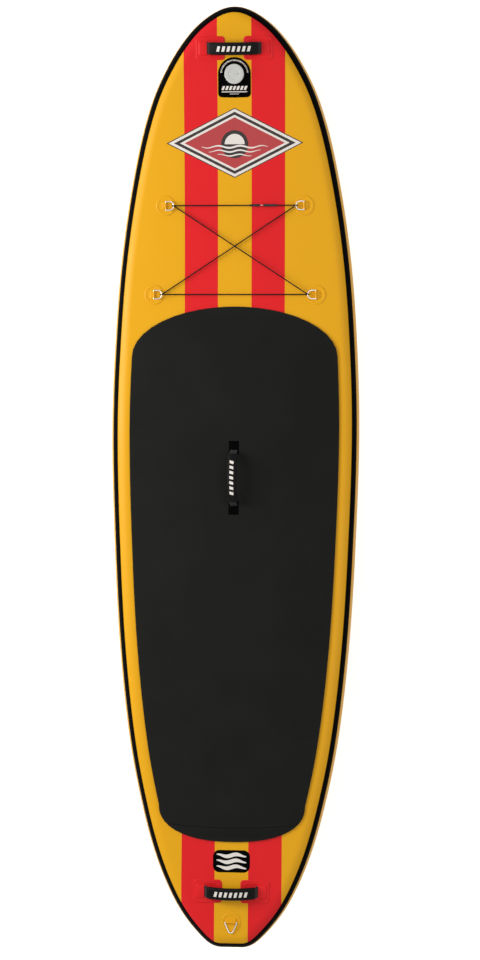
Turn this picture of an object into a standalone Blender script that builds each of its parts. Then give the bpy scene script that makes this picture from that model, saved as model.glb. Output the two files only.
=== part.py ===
"""Inflatable stand-up paddle board at rest, deck up (+Z), nose towards +Y.

The origin is on the flat bottom of the hull, at mid length. Lengths are in metres and angles in degrees.
The hull is a drop-stitch air chamber: two flat textile sheets tied by yarn, with a deck skin, a bottom skin
and two rail walls glued round it. Handles, rings, cord, valve and fins are fitted on its skins.
"""

import math

import bmesh
import bpy
from mathutils import Matrix, Vector

# Hull
LENGTH = 3.200
WIDTH = 0.857
THICKNESS = 0.150
RAIL_DEPTH = 0.060  # how far in from the outline the flat deck starts
NOSE_RISE = 0.140
NOSE_RISE_LENGTH = 1.250
NOSE_RISE_POWER = 2.2
TAIL_RISE = 0.035
TAIL_RISE_LENGTH = 0.850
TAIL_RISE_POWER = 2.0
# Share of the half width at each share of the way from the nose tip to the tail
PLAN_SHAPE = (
    (0.00, 0.000), (0.05, 0.167), (0.10, 0.348), (0.15, 0.518), (0.20, 0.670), (0.26, 0.800),
    (0.34, 0.924), (0.41, 0.982), (0.47, 1.000), (0.55, 0.972), (0.62, 0.924), (0.69, 0.841),
    (0.75, 0.732), (0.80, 0.621), (0.86, 0.460), (0.92, 0.281), (0.96, 0.182), (1.00, 0.082),
)
STATIONS = 30  # columns of faces from nose to tail on one side
SKIN = 0.0012
GAP = 0.0003  # between pieces that touch
DRAPE_GAP = 0.0005  # under a sheet that is glued along the curved deck
SEAM_ANGLE = 44.0  # where deck skin and rail wall meet, up from the middle of the rail
SEAM_CLEARANCE_ANGLE = 0.25
DECK_ANGLES = (57.0, 70.0, 81.0, 90.0)
TAPE_ANGLES = (53.0, 44.0, 35.0)
TAPE = 0.0008
CURVE_STEP = 0.008  # longest face of a sheet on the rolled edge of the deck
FLAT_STEP = 0.030

# Drop-stitch core
SHEET = 0.0012
SHEET_MARGIN = 0.003  # the sheets stop short of the rail curve
YARN = 0.006
YARN_STEP_Y = 0.235
YARN_STEP_X = 0.155
YARN_EDGE = 0.030

# Deck pad
PAD_THICKNESS = 0.005
PAD_MARGIN = 0.070
PAD_FRONT_Y = 0.596
PAD_SHOULDER_Y = 0.424
PAD_HEEL_Y = -1.105
PAD_REAR_Y = -1.229
PAD_HEEL_POWER = 2.3  # 2 makes the heel an ellipse, more makes it squarer

# Carry handles
END_STRAP_WIDTH = 0.038
CENTRE_STRAP_WIDTH = 0.025
STRAP = 0.002
STRAP_BEND = 0.004
STRAP_FREE = 0.002  # straight run between the grip's end and the first bend
STRAP_DROP_ANGLE = 72.0
STRAP_TUCK = 0.026
PATCH_SHEET = 0.001
PATCH_WIDTH = 0.099
PATCH_DEPTH = 0.078
PATCH_CORNER = 0.012
PATCH_INSET = 0.0105  # how far the patch's middle lies inside the strap's slot
POCKET_WALL = 0.004
POCKET_ROOF = 0.0008
GRIP_HALF = 0.080
GRIP_ROUNDNESS = 0.6  # power of the oval: 1 is an ellipse, 0 a rectangle
BORE_ROUNDNESS = 0.04
END_GRIP_WIDTH = 0.041
END_GRIP_THICKNESS = 0.014
END_GRIP_RISE = 0.034
END_GRIP_END_RISE = 0.018
END_GRIP_LEAN = 8.0
CENTRE_GRIP_WIDTH = 0.031
CENTRE_GRIP_THICKNESS = 0.022
CENTRE_GRIP_RISE = 0.050
CENTRE_GRIP_END_RISE = 0.031
CENTRE_GRIP_LEAN = -5.0  # to the left
NOSE_HANDLE_Y = 1.452
CENTRE_HANDLE_Y = 0.012
TAIL_HANDLE_Y = -1.396

# Rings, tabs and cargo cord
WIRE = 0.004
RING_PATCH_RADIUS = 0.034
RING_CORNER = 0.0025
TAB_SHEET = 0.0014
TAB_FOOT = 0.013
RING_INSIDE = 0.025
RING_REACH = 0.0285  # from the bar to the middle of the bow
CARGO_RING_TILT = 12.0
FRONT_RING_X = 0.236
FRONT_RING_Y = 0.937
REAR_RING_X = 0.277
REAR_RING_Y = 0.637
TAIL_RING_Y = -1.499
TAIL_RING_INSIDE = 0.036
TAIL_RING_REACH = 0.035
TAIL_RING_TIP_RADIUS = 0.009
TAIL_RING_TILT = -2.4
CORD = 0.004
SLEEVE_DIAMETER = 0.009
SLEEVE_BORE_DEPTH = 0.016
SLEEVE_LEFT_X = (0.052, 0.086)
SLEEVE_RIGHT_X = (0.098, 0.147)
HOOK_WIRE = 0.0025
HOOK_SEAT = 0.008

# Inflation valve
VALVE_Y = 1.3688
VALVE_PATCH_WIDTH = 0.110
VALVE_PATCH_REAR_Y = 1.2927
VALVE_PATCH_FRONT_Y = 1.4238
VALVE_FLANGE_RADIUS = 0.0315
VALVE_FLANGE = 0.0020
VALVE_NECK_RADIUS = 0.0230
VALVE_BORE_RADIUS = 0.0150
VALVE_LENGTH = 0.0280
VALVE_SEAT_RADIUS = 0.0105
VALVE_SEAT = 0.0030
VALVE_HUB_RADIUS = 0.0052
VALVE_SPOKE = 0.0024
VALVE_HUB = 0.0040
VALVE_HUB_LIFT = 0.0050
NUT_RADIUS = 0.0300
NUT_THICKNESS = 0.0060
STEM_RADIUS = 0.0026
STEM_BUTTON_RADIUS = 0.0072
STEM_BUTTON = 0.0022
STEM_BUTTON_DEPTH = 0.0030
POPPET_RADIUS = 0.0135
POPPET = 0.0018
SEAL = 0.0016
SPRING_WIRE = 0.0009
SPRING_TURNS = 5
CAP_RADIUS = 0.0325
CAP_HEIGHT = 0.0130
CAP_DISH = 0.0012
CAP_DISH_RADIUS = 0.0180
CAP_WALL = 0.0022
CAP_SEAL_RADIUS = 0.0190

# Fins
FIN_Y = -1.250
FIN_BOX_LENGTH = 0.240
FIN_BOX_WIDTH = 0.034
FIN_BOX_DEPTH = 0.0225
FIN_FLANGE_WIDTH = 0.090
FIN_FLANGE_LENGTH = 0.262
FIN_FLANGE = 0.0025
FIN_PATCH_WIDTH = 0.130
FIN_PATCH_LENGTH = 0.300
FIN_SLOT_WIDTH = 0.0098
FIN_SLOT_DEPTH = 0.0180
FIN_SLOT_END = 0.012
FIN_CHANNEL_WIDTH = 0.018
FIN_CHANNEL_HEIGHT = 0.006
FIN_ENTRY_LENGTH = 0.014
FIN_SET_BACK = 0.015  # how far the fin's middle sits behind the box's
FIN_NUT_WIDTH = 0.012
FIN_BASE_LENGTH = 0.150
FIN_BASE_THICKNESS = 0.0092
FIN_DEPTH = 0.190
FIN_ROOT_CHORD = 0.172
FIN_TIP_CHORD = 0.062
FIN_RAKE = 0.085
FIN_PIN_DIAMETER = 0.005
FIN_PIN_LENGTH = 0.0172
FIN_SCREW_DIAMETER = 0.004
FIN_SCREW_HEAD = 0.008
FIN_NUT_LENGTH = 0.016
FIN_NUT_THICKNESS = 0.003
SIDE_FIN_X = 0.150
SIDE_FIN_Y = -1.120
SIDE_FIN_DEPTH = 0.090
SIDE_FIN_CHORD = 0.105
SIDE_FIN_TIP_CHORD = 0.045
SIDE_FIN_RAKE = 0.045
SIDE_BASE_LENGTH = 0.130
SIDE_BASE_WIDTH = 0.040
SIDE_BASE = 0.003
FOIL_SHARES = (0.0, 0.25, 0.5, 0.75, 0.93, 1.0)  # where a fin's sections lie on its depth
FOIL_TIP_ROUNDING = 0.55
FOIL_SWEEP = 0.45  # share of the lost chord that the leading edge gives up
FOIL_THINNING = 0.65

# Colour (linear), roughness and metallic value of each material
FINISHES = {
    "yellow_pvc": ((0.84, 0.45, 0.022), 0.45, 0.0),
    "red_pvc": ((0.73, 0.019, 0.026), 0.45, 0.0),
    "black_pvc": ((0.012, 0.012, 0.012), 0.45, 0.0),
    "pad_foam": ((0.013, 0.013, 0.012), 0.85, 0.0),
    "webbing": ((0.015, 0.015, 0.015), 0.8, 0.0),
    "grip": ((0.011, 0.011, 0.012), 0.55, 0.0),
    "steel": ((0.62, 0.62, 0.60), 0.25, 1.0),
    "cord": ((0.02, 0.018, 0.018), 0.7, 0.0),
    "textile": ((0.75, 0.74, 0.70), 0.8, 0.0),
    "valve_plastic": ((0.55, 0.55, 0.53), 0.4, 0.0),
    "black_plastic": ((0.02, 0.02, 0.02), 0.4, 0.0),
    "seal_rubber": ((0.02, 0.02, 0.02), 0.7, 0.0),
}

for old in list(bpy.data.objects):
    bpy.data.objects.remove(old, do_unlink=True)
BOARD = bpy.data.collections.new("paddle_board")
CUTTERS = bpy.data.collections.new("cutters")
for collection in (BOARD, CUTTERS):
    bpy.context.scene.collection.children.link(collection)


# Materials and objects

def finish(name):
    """The material of that name, made on its first use."""
    if name in bpy.data.materials:
        return bpy.data.materials[name]
    colour, roughness, metallic = FINISHES[name]
    material = bpy.data.materials.new(name)
    material.use_nodes = True
    shader = material.node_tree.nodes["Principled BSDF"]
    shader.inputs["Base Color"].default_value = (*colour, 1.0)
    shader.inputs["Roughness"].default_value = roughness
    shader.inputs["Metallic"].default_value = metallic
    return material


def place(name, data, material, parent=None):
    """A new object of the board, in its parent's frame."""
    obj = bpy.data.objects.new(name, data)
    data.materials.append(finish(material))
    BOARD.objects.link(obj)
    obj.parent = parent
    return obj


def from_bmesh(name, shape, material, parent=None):
    bmesh.ops.recalc_face_normals(shape, faces=shape.faces)
    data = bpy.data.meshes.new(name)
    shape.to_mesh(data)
    shape.free()
    return place(name, data, material, parent)


def as_cutter(obj):
    """Moves an object out of the board, to cut or join with."""
    BOARD.objects.unlink(obj)
    CUTTERS.objects.link(obj)
    obj.hide_render = True
    obj.display_type = "WIRE"
    return obj


def boolean(obj, other, operation="DIFFERENCE"):
    modifier = obj.modifiers.new(other.name, "BOOLEAN")
    modifier.object = other
    modifier.operation = operation
    modifier.solver = "EXACT"
    return obj


def solidify(obj, thickness):
    """Gives an open sheet its thickness, on the side that its faces turn away from."""
    modifier = obj.modifiers.new("thickness", "SOLIDIFY")
    modifier.thickness = thickness
    modifier.offset = -1.0
    modifier.use_even_offset = True
    return obj


def smooth(obj, angle=35.0):
    obj.data.shade_smooth()
    obj.data.set_sharp_from_angle(angle=math.radians(angle))
    return obj


# Basic shapes, each in its parent's frame

def box(name, low, high, material="black_plastic", parent=None):
    shape = bmesh.new()
    centre = (Vector(low) + Vector(high)) / 2
    size = Vector(high) - Vector(low)
    bmesh.ops.create_cube(shape, matrix=Matrix.Translation(centre) @ Matrix.Diagonal((*size, 1.0)))
    return from_bmesh(name, shape, material, parent)


def cylinder(name, radius, low, high, material="black_plastic", parent=None, sides=24, turn=None):
    """A cylinder along Z from low to high, or turned by a rotation matrix."""
    shape = bmesh.new()
    bmesh.ops.create_cone(
        shape, cap_ends=True, segments=sides, radius1=radius, radius2=radius, depth=high - low,
        matrix=(turn or Matrix.Identity(4)) @ Matrix.Translation((0.0, 0.0, (low + high) / 2)))
    return smooth(from_bmesh(name, shape, material, parent))


def turned(name, profile, material, parent=None, sides=32):
    """A profile of (radius, height) points, down its outer side, turned round Z: closed unless it ends on the axis."""
    data = bpy.data.meshes.new(name)
    count = len(profile)
    edges = count if profile[0][0] > 0.0 else count - 1
    data.from_pydata(
        [(radius, 0.0, height) for radius, height in profile],
        [(i, (i + 1) % count) for i in range(edges)], [])
    obj = place(name, data, material, parent)
    screw = obj.modifiers.new("turned", "SCREW")
    screw.steps = screw.render_steps = sides
    screw.use_merge_vertices = True
    screw.merge_threshold = 1e-5
    screw.use_smooth_shade = True
    return obj


def wire(name, points, diameter, material, parent=None, cyclic=False, sides_step=1):
    """A round wire or cord through a list of points."""
    data = bpy.data.curves.new(name, "CURVE")
    data.dimensions = "3D"
    data.bevel_depth = diameter / 2
    data.bevel_resolution = sides_step
    data.use_fill_caps = not cyclic
    spline = data.splines.new("POLY")
    spline.points.add(len(points) - 1)
    for point, target in zip(spline.points, points):
        point.co = (*target, 1.0)
    spline.use_cyclic_u = cyclic
    return place(name, data, material, parent)


def loft(name, rings, material, parent=None):
    """A solid through closed rings of equally many points, with flat ends."""
    shape = bmesh.new()
    rows = [[shape.verts.new(point) for point in ring] for ring in rings]
    count = len(rows[0])
    for row, after in zip(rows, rows[1:]):
        for i in range(count):
            j = (i + 1) % count
            shape.faces.new((row[i], row[j], after[j], after[i]))
    shape.faces.new(rows[0])
    shape.faces.new(rows[-1])
    return from_bmesh(name, shape, material, parent)


# The hull's surface

def rocker(y):
    """Height of the bottom above the flat middle."""
    nose = max(0.0, y - (LENGTH / 2 - NOSE_RISE_LENGTH)) / NOSE_RISE_LENGTH
    tail = max(0.0, -y - (LENGTH / 2 - TAIL_RISE_LENGTH)) / TAIL_RISE_LENGTH
    return NOSE_RISE * nose ** NOSE_RISE_POWER + TAIL_RISE * tail ** TAIL_RISE_POWER


def slope(y, step=1e-4):
    """Angle of the rocker at y, nose up."""
    return math.atan((rocker(y + step) - rocker(y - step)) / (2 * step))


def plan_share(way):
    """PLAN_SHAPE at a share of the way, on a smooth curve through its points."""
    last = len(PLAN_SHAPE) - 1
    k = min(max(i for i in range(last) if PLAN_SHAPE[i][0] <= way), last - 1)

    def lean(i):
        before, after = PLAN_SHAPE[max(i - 1, 0)], PLAN_SHAPE[min(i + 1, last)]
        return (after[1] - before[1]) / (after[0] - before[0])

    (start, low), (end, high) = PLAN_SHAPE[k], PLAN_SHAPE[k + 1]
    span = end - start
    s = (way - start) / span
    return (
        low * (1 + 2 * s) * (1 - s) ** 2 + high * s * s * (3 - 2 * s)
        + span * s * (1 - s) * (lean(k) * (1 - s) - lean(k + 1) * s))


def plan_point(way):
    return Vector((WIDTH / 2 * plan_share(way), LENGTH / 2 * math.cos(math.pi * way)))


def plan_normal(way, step=2e-3):
    """Outward direction of the outline."""
    if way <= 0.0:
        return Vector((0.0, 1.0))
    if way >= 1.0:
        return Vector((0.0, -1.0))
    along = plan_point(min(way + step, 1.0)) - plan_point(max(way - step, 0.0))
    return Vector((-along.y, along.x)).normalized()


def outline():
    """Points of the outline with their outward normals, once round from the nose tip by the right side."""
    right = [(plan_point(i / STATIONS), plan_normal(i / STATIONS)) for i in range(STATIONS + 1)]
    left = [(Vector((-p.x, p.y)), Vector((-n.x, n.y))) for p, n in reversed(right[1:])]
    return right + [(Vector((0.0, -LENGTH / 2)), Vector((0.0, -1.0)))] + left


OUTLINE = outline()
FINE_OUTLINE = [plan_point(i / 400) for i in range(401)] + [Vector((0.0, -LENGTH / 2))]


def hull_point(station, angle, depth=0.0):
    """A point of the hull: angle 90 is the deck's flat edge, 0 the middle of the rail, -90 the bottom's."""
    point, normal = OUTLINE[station]
    turn = math.radians(angle)
    flat = point - normal * (RAIL_DEPTH - (RAIL_DEPTH - depth) * math.cos(turn))
    height = THICKNESS / 2 + (THICKNESS / 2 - depth) * math.sin(turn)
    return Vector((flat.x, flat.y, height + rocker(flat.y)))


def inset(x, y):
    """Distance of a point from the outline."""
    point = Vector((abs(x), y))
    nearest = math.inf
    for a, b in zip(FINE_OUTLINE, FINE_OUTLINE[1:]):
        along = b - a
        share = min(max((point - a).dot(along) / along.length_squared, 0.0), 1.0)
        nearest = min(nearest, (a + along * share - point).length)
    return nearest


def deck_height(x, y):
    share = 1.0 - min(inset(x, y) / RAIL_DEPTH, 1.0)
    return THICKNESS / 2 * (1.0 + math.sqrt(1.0 - share * share)) + rocker(y)


def board_half(y):
    """Half width of the board at y."""
    return WIDTH / 2 * plan_share(math.acos(max(-1.0, min(1.0, 2 * y / LENGTH))) / math.pi)


def frame(name, x, y, below=False, turn=0.0):
    """An empty on the deck's flat, or on the bottom's, with Z square to it and turned about Z."""
    empty = bpy.data.objects.new(name, None)
    empty.empty_display_size = 0.05
    BOARD.objects.link(empty)
    height = rocker(y) + (0.0 if below else THICKNESS)
    tilt = Matrix.Rotation(slope(y), 4, "X")
    empty.matrix_world = Matrix.Translation((x, y, height)) @ tilt @ Matrix.Rotation(math.radians(turn), 4, "Z")
    bpy.context.view_layer.update()
    return empty


# Hull pieces

def band(shape, columns, angles, depth):
    """Faces over the hull between successive angles, for successive stations."""
    rows = [[shape.verts.new(hull_point(station, angle, depth)) for station in columns] for angle in angles]
    for row, after in zip(rows, rows[1:]):
        for i in range(len(columns) - 1):
            shape.faces.new((row[i], row[i + 1], after[i + 1], after[i]))
    return rows


def closed_band(shape, angles, depth):
    rows = band(shape, range(len(OUTLINE)), angles, depth)
    for row, after in zip(rows, rows[1:]):
        shape.faces.new((row[-1], row[0], after[0], after[-1]))
    return rows


def fill_flat(shape, ring):
    """Strips across the flat inside a ring of stations, from nose to tail."""
    count = len(ring)
    for i in range(STATIONS):
        middle = [ring[STATIONS + 1]] if i == STATIONS - 1 else []
        corners = [ring[i], ring[i + 1], *middle, ring[count - 1 - i], ring[(count - i) % count]]
        shape.faces.new(list(dict.fromkeys(corners)))


def skin(name, side, material):
    """Deck skin for side 1, bottom skin for side -1: an open sheet from one rail seam to the other."""
    shape = bmesh.new()
    angles = [side * angle for angle in (SEAM_ANGLE + SEAM_CLEARANCE_ANGLE, *DECK_ANGLES)]
    rows = closed_band(shape, angles, 0.0)
    fill_flat(shape, rows[-1])
    turn_outwards(shape, Vector((0.0, 0.0, side)))
    return smooth(solidify(finish_sheet(name, shape, material), SKIN), 50.0)


def turn_outwards(shape, outward):
    """Turns an open sheet's faces to one side: the sum of their normals points the way given."""
    bmesh.ops.recalc_face_normals(shape, faces=shape.faces)
    total = Vector()
    for face in shape.faces:
        face.normal_update()
        total += face.normal * face.calc_area()
    if total.dot(outward) < 0:
        bmesh.ops.reverse_faces(shape, faces=shape.faces)


def finish_sheet(name, shape, material, parent=None):
    data = bpy.data.meshes.new(name)
    shape.to_mesh(data)
    shape.free()
    return place(name, data, material, parent)


def face_rail(shape):
    """Turns the faces of a strip along the rail away from the hull's middle."""
    bmesh.ops.recalc_face_normals(shape, faces=shape.faces)
    face = next(iter(shape.faces))
    face.normal_update()
    middle = Vector((0.0, face.calc_center_median().y * 0.9, THICKNESS / 2))
    if face.normal.dot(face.calc_center_median() - middle) < 0:
        bmesh.ops.reverse_faces(shape, faces=shape.faces)


def rail_wall(name, side, material):
    """The wall of one side, from the nose joint to the tail joint."""
    shape = bmesh.new()
    edge = SEAM_ANGLE - SEAM_CLEARANCE_ANGLE
    angles = (edge, edge / 2, 0.0, -edge / 2, -edge)
    rows = band(shape, range(STATIONS + 2), angles, 0.0)
    for row in rows:
        for end in (row[0], row[-1]):
            end.co.x = GAP / 2
    if side < 0:
        bmesh.ops.scale(shape, vec=(-1.0, 1.0, 1.0), verts=shape.verts)
    face_rail(shape)
    wall = solidify(finish_sheet(name, shape, material), SKIN)
    half = box(name + "_side", (0.0, -LENGTH, -WIDTH), (WIDTH, LENGTH, WIDTH))
    half.location.x = GAP / 2
    if side < 0:
        half.rotation_euler.z = math.pi
        half.location.x = -GAP / 2
    return smooth(boolean(wall, as_cutter(half), "INTERSECT"), 50.0)


def seam_tape(name, side, material):
    """The tape over the seam of skin and wall, all round the rail."""
    shape = bmesh.new()
    closed_band(shape, [side * angle for angle in TAPE_ANGLES], -GAP - TAPE)
    face_rail(shape)
    return smooth(solidify(finish_sheet(name, shape, material), TAPE), 50.0)


def core_sheet(name, side, material):
    """One textile sheet of the core, just under the skin's flat."""
    shape = bmesh.new()
    ring = []
    depth = SKIN + GAP
    for point, normal in OUTLINE:
        flat = point - normal * (RAIL_DEPTH + SHEET_MARGIN)
        height = THICKNESS - depth if side > 0 else depth
        ring.append(shape.verts.new((flat.x, flat.y, height + rocker(flat.y))))
    fill_flat(shape, ring)
    turn_outwards(shape, Vector((0.0, 0.0, side)))
    return solidify(finish_sheet(name, shape, material), SHEET)


def yarn_places():
    rows = int((LENGTH / 2 - RAIL_DEPTH) / YARN_STEP_Y)
    for j in range(-rows, rows + 1):
        y = j * YARN_STEP_Y
        reach = board_half(y) - RAIL_DEPTH - YARN_EDGE
        columns = int(reach / YARN_STEP_X)
        for i in range(-columns, columns + 1):
            x = i * YARN_STEP_X
            if inset(x, y) < RAIL_DEPTH + YARN_EDGE:
                continue
            if math.hypot(x, y - VALVE_Y) > NUT_RADIUS + YARN_EDGE:
                yield x, y


def drop_stitch_core():
    """Both sheets and the yarn that ties them, as one body."""
    core = core_sheet("drop_stitch_core", 1, "textile")
    lower = as_cutter(core_sheet("core_lower_sheet", -1, "textile"))
    shape = bmesh.new()
    for x, y in yarn_places():
        low = rocker(y) + SKIN + GAP + SHEET / 2
        high = rocker(y) + THICKNESS - SKIN - GAP - SHEET / 2
        bmesh.ops.create_cube(
            shape, matrix=Matrix.Translation((x, y, (low + high) / 2)) @ Matrix.Diagonal((YARN, YARN, high - low, 1.0)))
    yarn = as_cutter(from_bmesh("core_yarn", shape, "textile"))
    boolean(core, yarn, "UNION")
    return boolean(core, lower, "UNION")


# Deck pad

def pad_edge():
    """(half width, y) along the pad's edge, from its front to its rear."""
    shoulder = board_half(PAD_SHOULDER_Y) - PAD_MARGIN
    heel = board_half(PAD_HEEL_Y) - PAD_MARGIN
    edge = []
    for degrees in (84, 75, 64, 51, 36, 18):
        turn = math.radians(degrees)
        edge.append((shoulder * math.cos(turn), PAD_SHOULDER_Y + (PAD_FRONT_Y - PAD_SHOULDER_Y) * math.sin(turn)))
    steps = 14
    for i in range(steps + 1):
        y = PAD_SHOULDER_Y + (PAD_HEEL_Y - PAD_SHOULDER_Y) * i / steps
        edge.append((board_half(y) - PAD_MARGIN, y))
    for degrees in (22, 42, 58, 72, 83):
        turn = math.radians(degrees)
        across, back = (way(turn) ** (2 / PAD_HEEL_POWER) for way in (math.cos, math.sin))
        edge.append((heel * across, PAD_HEEL_Y + (PAD_REAR_Y - PAD_HEEL_Y) * back))
    return edge


def deck_pad():
    rings = []
    for half, y in pad_edge():
        low = THICKNESS + rocker(y) + DRAPE_GAP
        high = low + PAD_THICKNESS
        rings.append([(-half, y, low), (half, y, low), (half, y, high), (-half, y, high)])
    return smooth(loft("deck_pad", rings, "pad_foam"), 50.0)


def hull():
    deck = skin("deck_skin", 1, "yellow_pvc")
    skin("bottom_skin", -1, "yellow_pvc")
    rail_wall("rail_wall_right", 1, "yellow_pvc")
    rail_wall("rail_wall_left", -1, "yellow_pvc")
    seam_tape("upper_rail_tape", 1, "black_pvc")
    seam_tape("lower_rail_tape", -1, "yellow_pvc")
    return deck, drop_stitch_core()


# Carry handles

def strap_path(rise, end_rise):
    """Half of the strap's middle line, from the top of its arch to the end of its tuck, as (along, height)."""
    tuck = PATCH_SHEET + GAP * 2 + STRAP / 2
    sag = (rise - end_rise) / GRIP_HALF ** 2
    free = GRIP_HALF + STRAP_FREE
    path = [(along, rise - sag * along ** 2) for along in [GRIP_HALF * i / 4 for i in range(5)] + [free]]
    first = math.atan(2 * sag * free)
    steep = math.radians(STRAP_DROP_ANGLE)
    along, height = path[-1]
    for i in (1, 2):
        turn = first + (steep - first) * i / 2
        path.append((
            along + STRAP_BEND * (math.sin(turn) - math.sin(first)),
            height - STRAP_BEND * (math.cos(first) - math.cos(turn))))
    along, height = path[-1]
    foot = tuck + STRAP_BEND * (1 - math.cos(steep))
    along += (height - foot) / math.tan(steep)
    path.append((along, foot))
    for i in (1, 2):
        turn = steep * (1 - i / 2)
        path.append((
            along + STRAP_BEND * (math.sin(steep) - math.sin(turn)),
            tuck + STRAP_BEND * (1 - math.cos(turn))))
    slot = path[-1][0]
    path.append((slot + STRAP_TUCK, tuck))
    return path, slot


def whole(half):
    return [(-along, height) for along, height in reversed(half[1:])] + half


def ribbon_normals(path):
    """Direction square to the path at each point, upwards."""
    normals = []
    for i in range(len(path)):
        before, after = path[max(i - 1, 0)], path[min(i + 1, len(path) - 1)]
        along = Vector((after[0] - before[0], after[1] - before[1])).normalized()
        normals.append(Vector((-along.y, along.x)))
    return normals


def strap(name, path, width, parent):
    rings = []
    for (along, height), normal in zip(path, ribbon_normals(path)):
        up = normal * STRAP / 2
        side = width / 2
        rings.append([
            (along - up.x, -side, height - up.y), (along - up.x, side, height - up.y),
            (along + up.x, side, height + up.y), (along + up.x, -side, height + up.y)])
    return smooth(loft(name, rings, "webbing", parent), 50.0)


def grip(name, rise, end_rise, width, thickness, strap_width, parent):
    """A soft sleeve round the strap: an oval outside and a flat bore, bent along the arch."""
    sag = (rise - end_rise) / GRIP_HALF ** 2
    steps, corners = 8, 12
    outer_rows, inner_rows = [], []
    shape = bmesh.new()
    for i in range(steps + 1):
        along = GRIP_HALF * (2 * i / steps - 1)
        height = rise - sag * along * along
        lean = math.atan(-2 * sag * along)
        normal = Vector((-math.sin(lean), 0.0, math.cos(lean)))
        centre = Vector((along, 0.0, height))
        rows = []
        for half_width, half_height, power in (
                (width / 2, thickness / 2, GRIP_ROUNDNESS),
                (strap_width / 2 + 2 * GAP, STRAP / 2 + 2 * GAP, BORE_ROUNDNESS)):
            row = []
            for k in range(corners):
                turn = 2 * math.pi * (k + 0.5) / corners
                side = math.copysign(abs(math.cos(turn)) ** power, math.cos(turn)) * half_width
                up = math.copysign(abs(math.sin(turn)) ** power, math.sin(turn)) * half_height
                row.append(shape.verts.new(centre + Vector((0.0, side, 0.0)) + normal * up))
            rows.append(row)
        outer_rows.append(rows[0])
        inner_rows.append(rows[1])
    for rows in (outer_rows, inner_rows):
        for row, after in zip(rows, rows[1:]):
            for k in range(corners):
                j = (k + 1) % corners
                shape.faces.new((row[k], row[j], after[j], after[k]))
    for outer, inner in ((outer_rows[0], inner_rows[0]), (outer_rows[-1], inner_rows[-1])):
        for k in range(corners):
            j = (k + 1) % corners
            shape.faces.new((outer[k], outer[j], inner[j], inner[k]))
    return smooth(from_bmesh(name, shape, "grip", parent), 50.0)


def patch_sheet(name, middle_x, y, width, depth, material, turn=0.0):
    """A rounded rectangular sheet glued on the deck, following its curve."""
    lines = []
    outer = abs(middle_x) + width / 2
    curved = min(inset(outer, y + end * depth / 2) for end in (-1, 1)) < RAIL_DEPTH - CURVE_STEP
    for size in (width, depth):
        half = size / 2
        inside = half - PATCH_CORNER
        steps = math.ceil(2 * inside / (CURVE_STEP if curved else FLAT_STEP))
        lines.append([-half, *(inside * (2 * i / steps - 1) for i in range(steps + 1)), half])
    spin = Matrix.Rotation(math.radians(turn), 2)
    shape = bmesh.new()
    corner = PATCH_CORNER * (1 - math.sqrt(0.5))
    grid = []
    for u in lines[0]:
        row = []
        for v in lines[1]:
            at_corner = abs(u) == width / 2 and abs(v) == depth / 2
            pull = corner if at_corner else 0.0
            flat = spin @ Vector((math.copysign(abs(u) - pull, u), math.copysign(abs(v) - pull, v)))
            x, along = middle_x + flat.x, y + flat.y
            row.append(shape.verts.new((x, along, deck_height(x, along) + DRAPE_GAP + PATCH_SHEET)))
        grid.append(row)
    for row, after in zip(grid, grid[1:]):
        for j in range(len(row) - 1):
            shape.faces.new((row[j], row[j + 1], after[j + 1], after[j]))
    bmesh.ops.triangulate(shape, faces=shape.faces)
    turn_outwards(shape, Vector((0.0, 0.0, 1.0)))
    return smooth(solidify(finish_sheet(name, shape, material), PATCH_SHEET), 50.0)


def patch(name, side, y, slot, strap_width, material, parent, turn=0.0):
    """A handle's patch: its glued sheet with a raised pocket that holds the strap's end."""
    reach = slot + STRAP_TUCK + POCKET_WALL
    middle = slot - PATCH_INSET
    spin = Matrix.Rotation(math.radians(turn), 2) @ Vector((side * middle, 0.0))
    sheet = patch_sheet(name, spin.x, y + spin.y, PATCH_WIDTH, PATCH_DEPTH, material, turn)
    tuck_low = PATCH_SHEET + GAP
    tuck_high = tuck_low + STRAP + GAP * 2
    half = strap_width / 2
    low_x, high_x = sorted((side * (slot + 0.001), side * reach))
    pocket = box(
        name + "_pocket", (low_x, -half - POCKET_WALL, PATCH_SHEET / 2),
        (high_x, half + POCKET_WALL, tuck_high + POCKET_ROOF), material, parent)
    low_x, high_x = sorted((side * (slot - POCKET_WALL), side * (reach - POCKET_WALL + GAP)))
    room = box(name + "_room", (low_x, -half - GAP, tuck_low), (high_x, half + GAP, tuck_high), material, parent)
    boolean(sheet, as_cutter(pocket), "UNION")
    return boolean(sheet, as_cutter(room))


def handle(name, y, sizes, lean, material, along_board=False):
    """A carry handle across the board, or along it: two patches, a strap and a grip that leans on its slots."""
    rise, end_rise, width, thickness, strap_width = sizes
    turn = 90.0 if along_board else 0.0
    base = frame(name + "_place", 0.0, y, turn=turn)
    lift = DRAPE_GAP
    base.location.z += lift
    half_path, slot = strap_path(rise, end_rise)
    pivot = bpy.data.objects.new(name + "_pivot", None)
    BOARD.objects.link(pivot)
    pivot.parent = base
    hinge_height = half_path[-1][1]
    pivot.location.z = hinge_height
    pivot.rotation_euler.x = math.radians(lean)
    path = [(along, height - hinge_height) for along, height in whole(half_path)]
    webbing = strap(name + "_webbing", path, strap_width, pivot)
    straighten_tucks(webbing, slot, math.radians(lean))
    grip(name + "_grip", rise - hinge_height, end_rise - hinge_height, width, thickness, strap_width, pivot)
    for side, word in ((-1, "left"), (1, "right")):
        if along_board:
            word = "rear" if side < 0 else "front"
        patch(f"{name}_patch_{word}", side, y, slot, strap_width, material, base, turn)
    return base, slot


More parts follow.
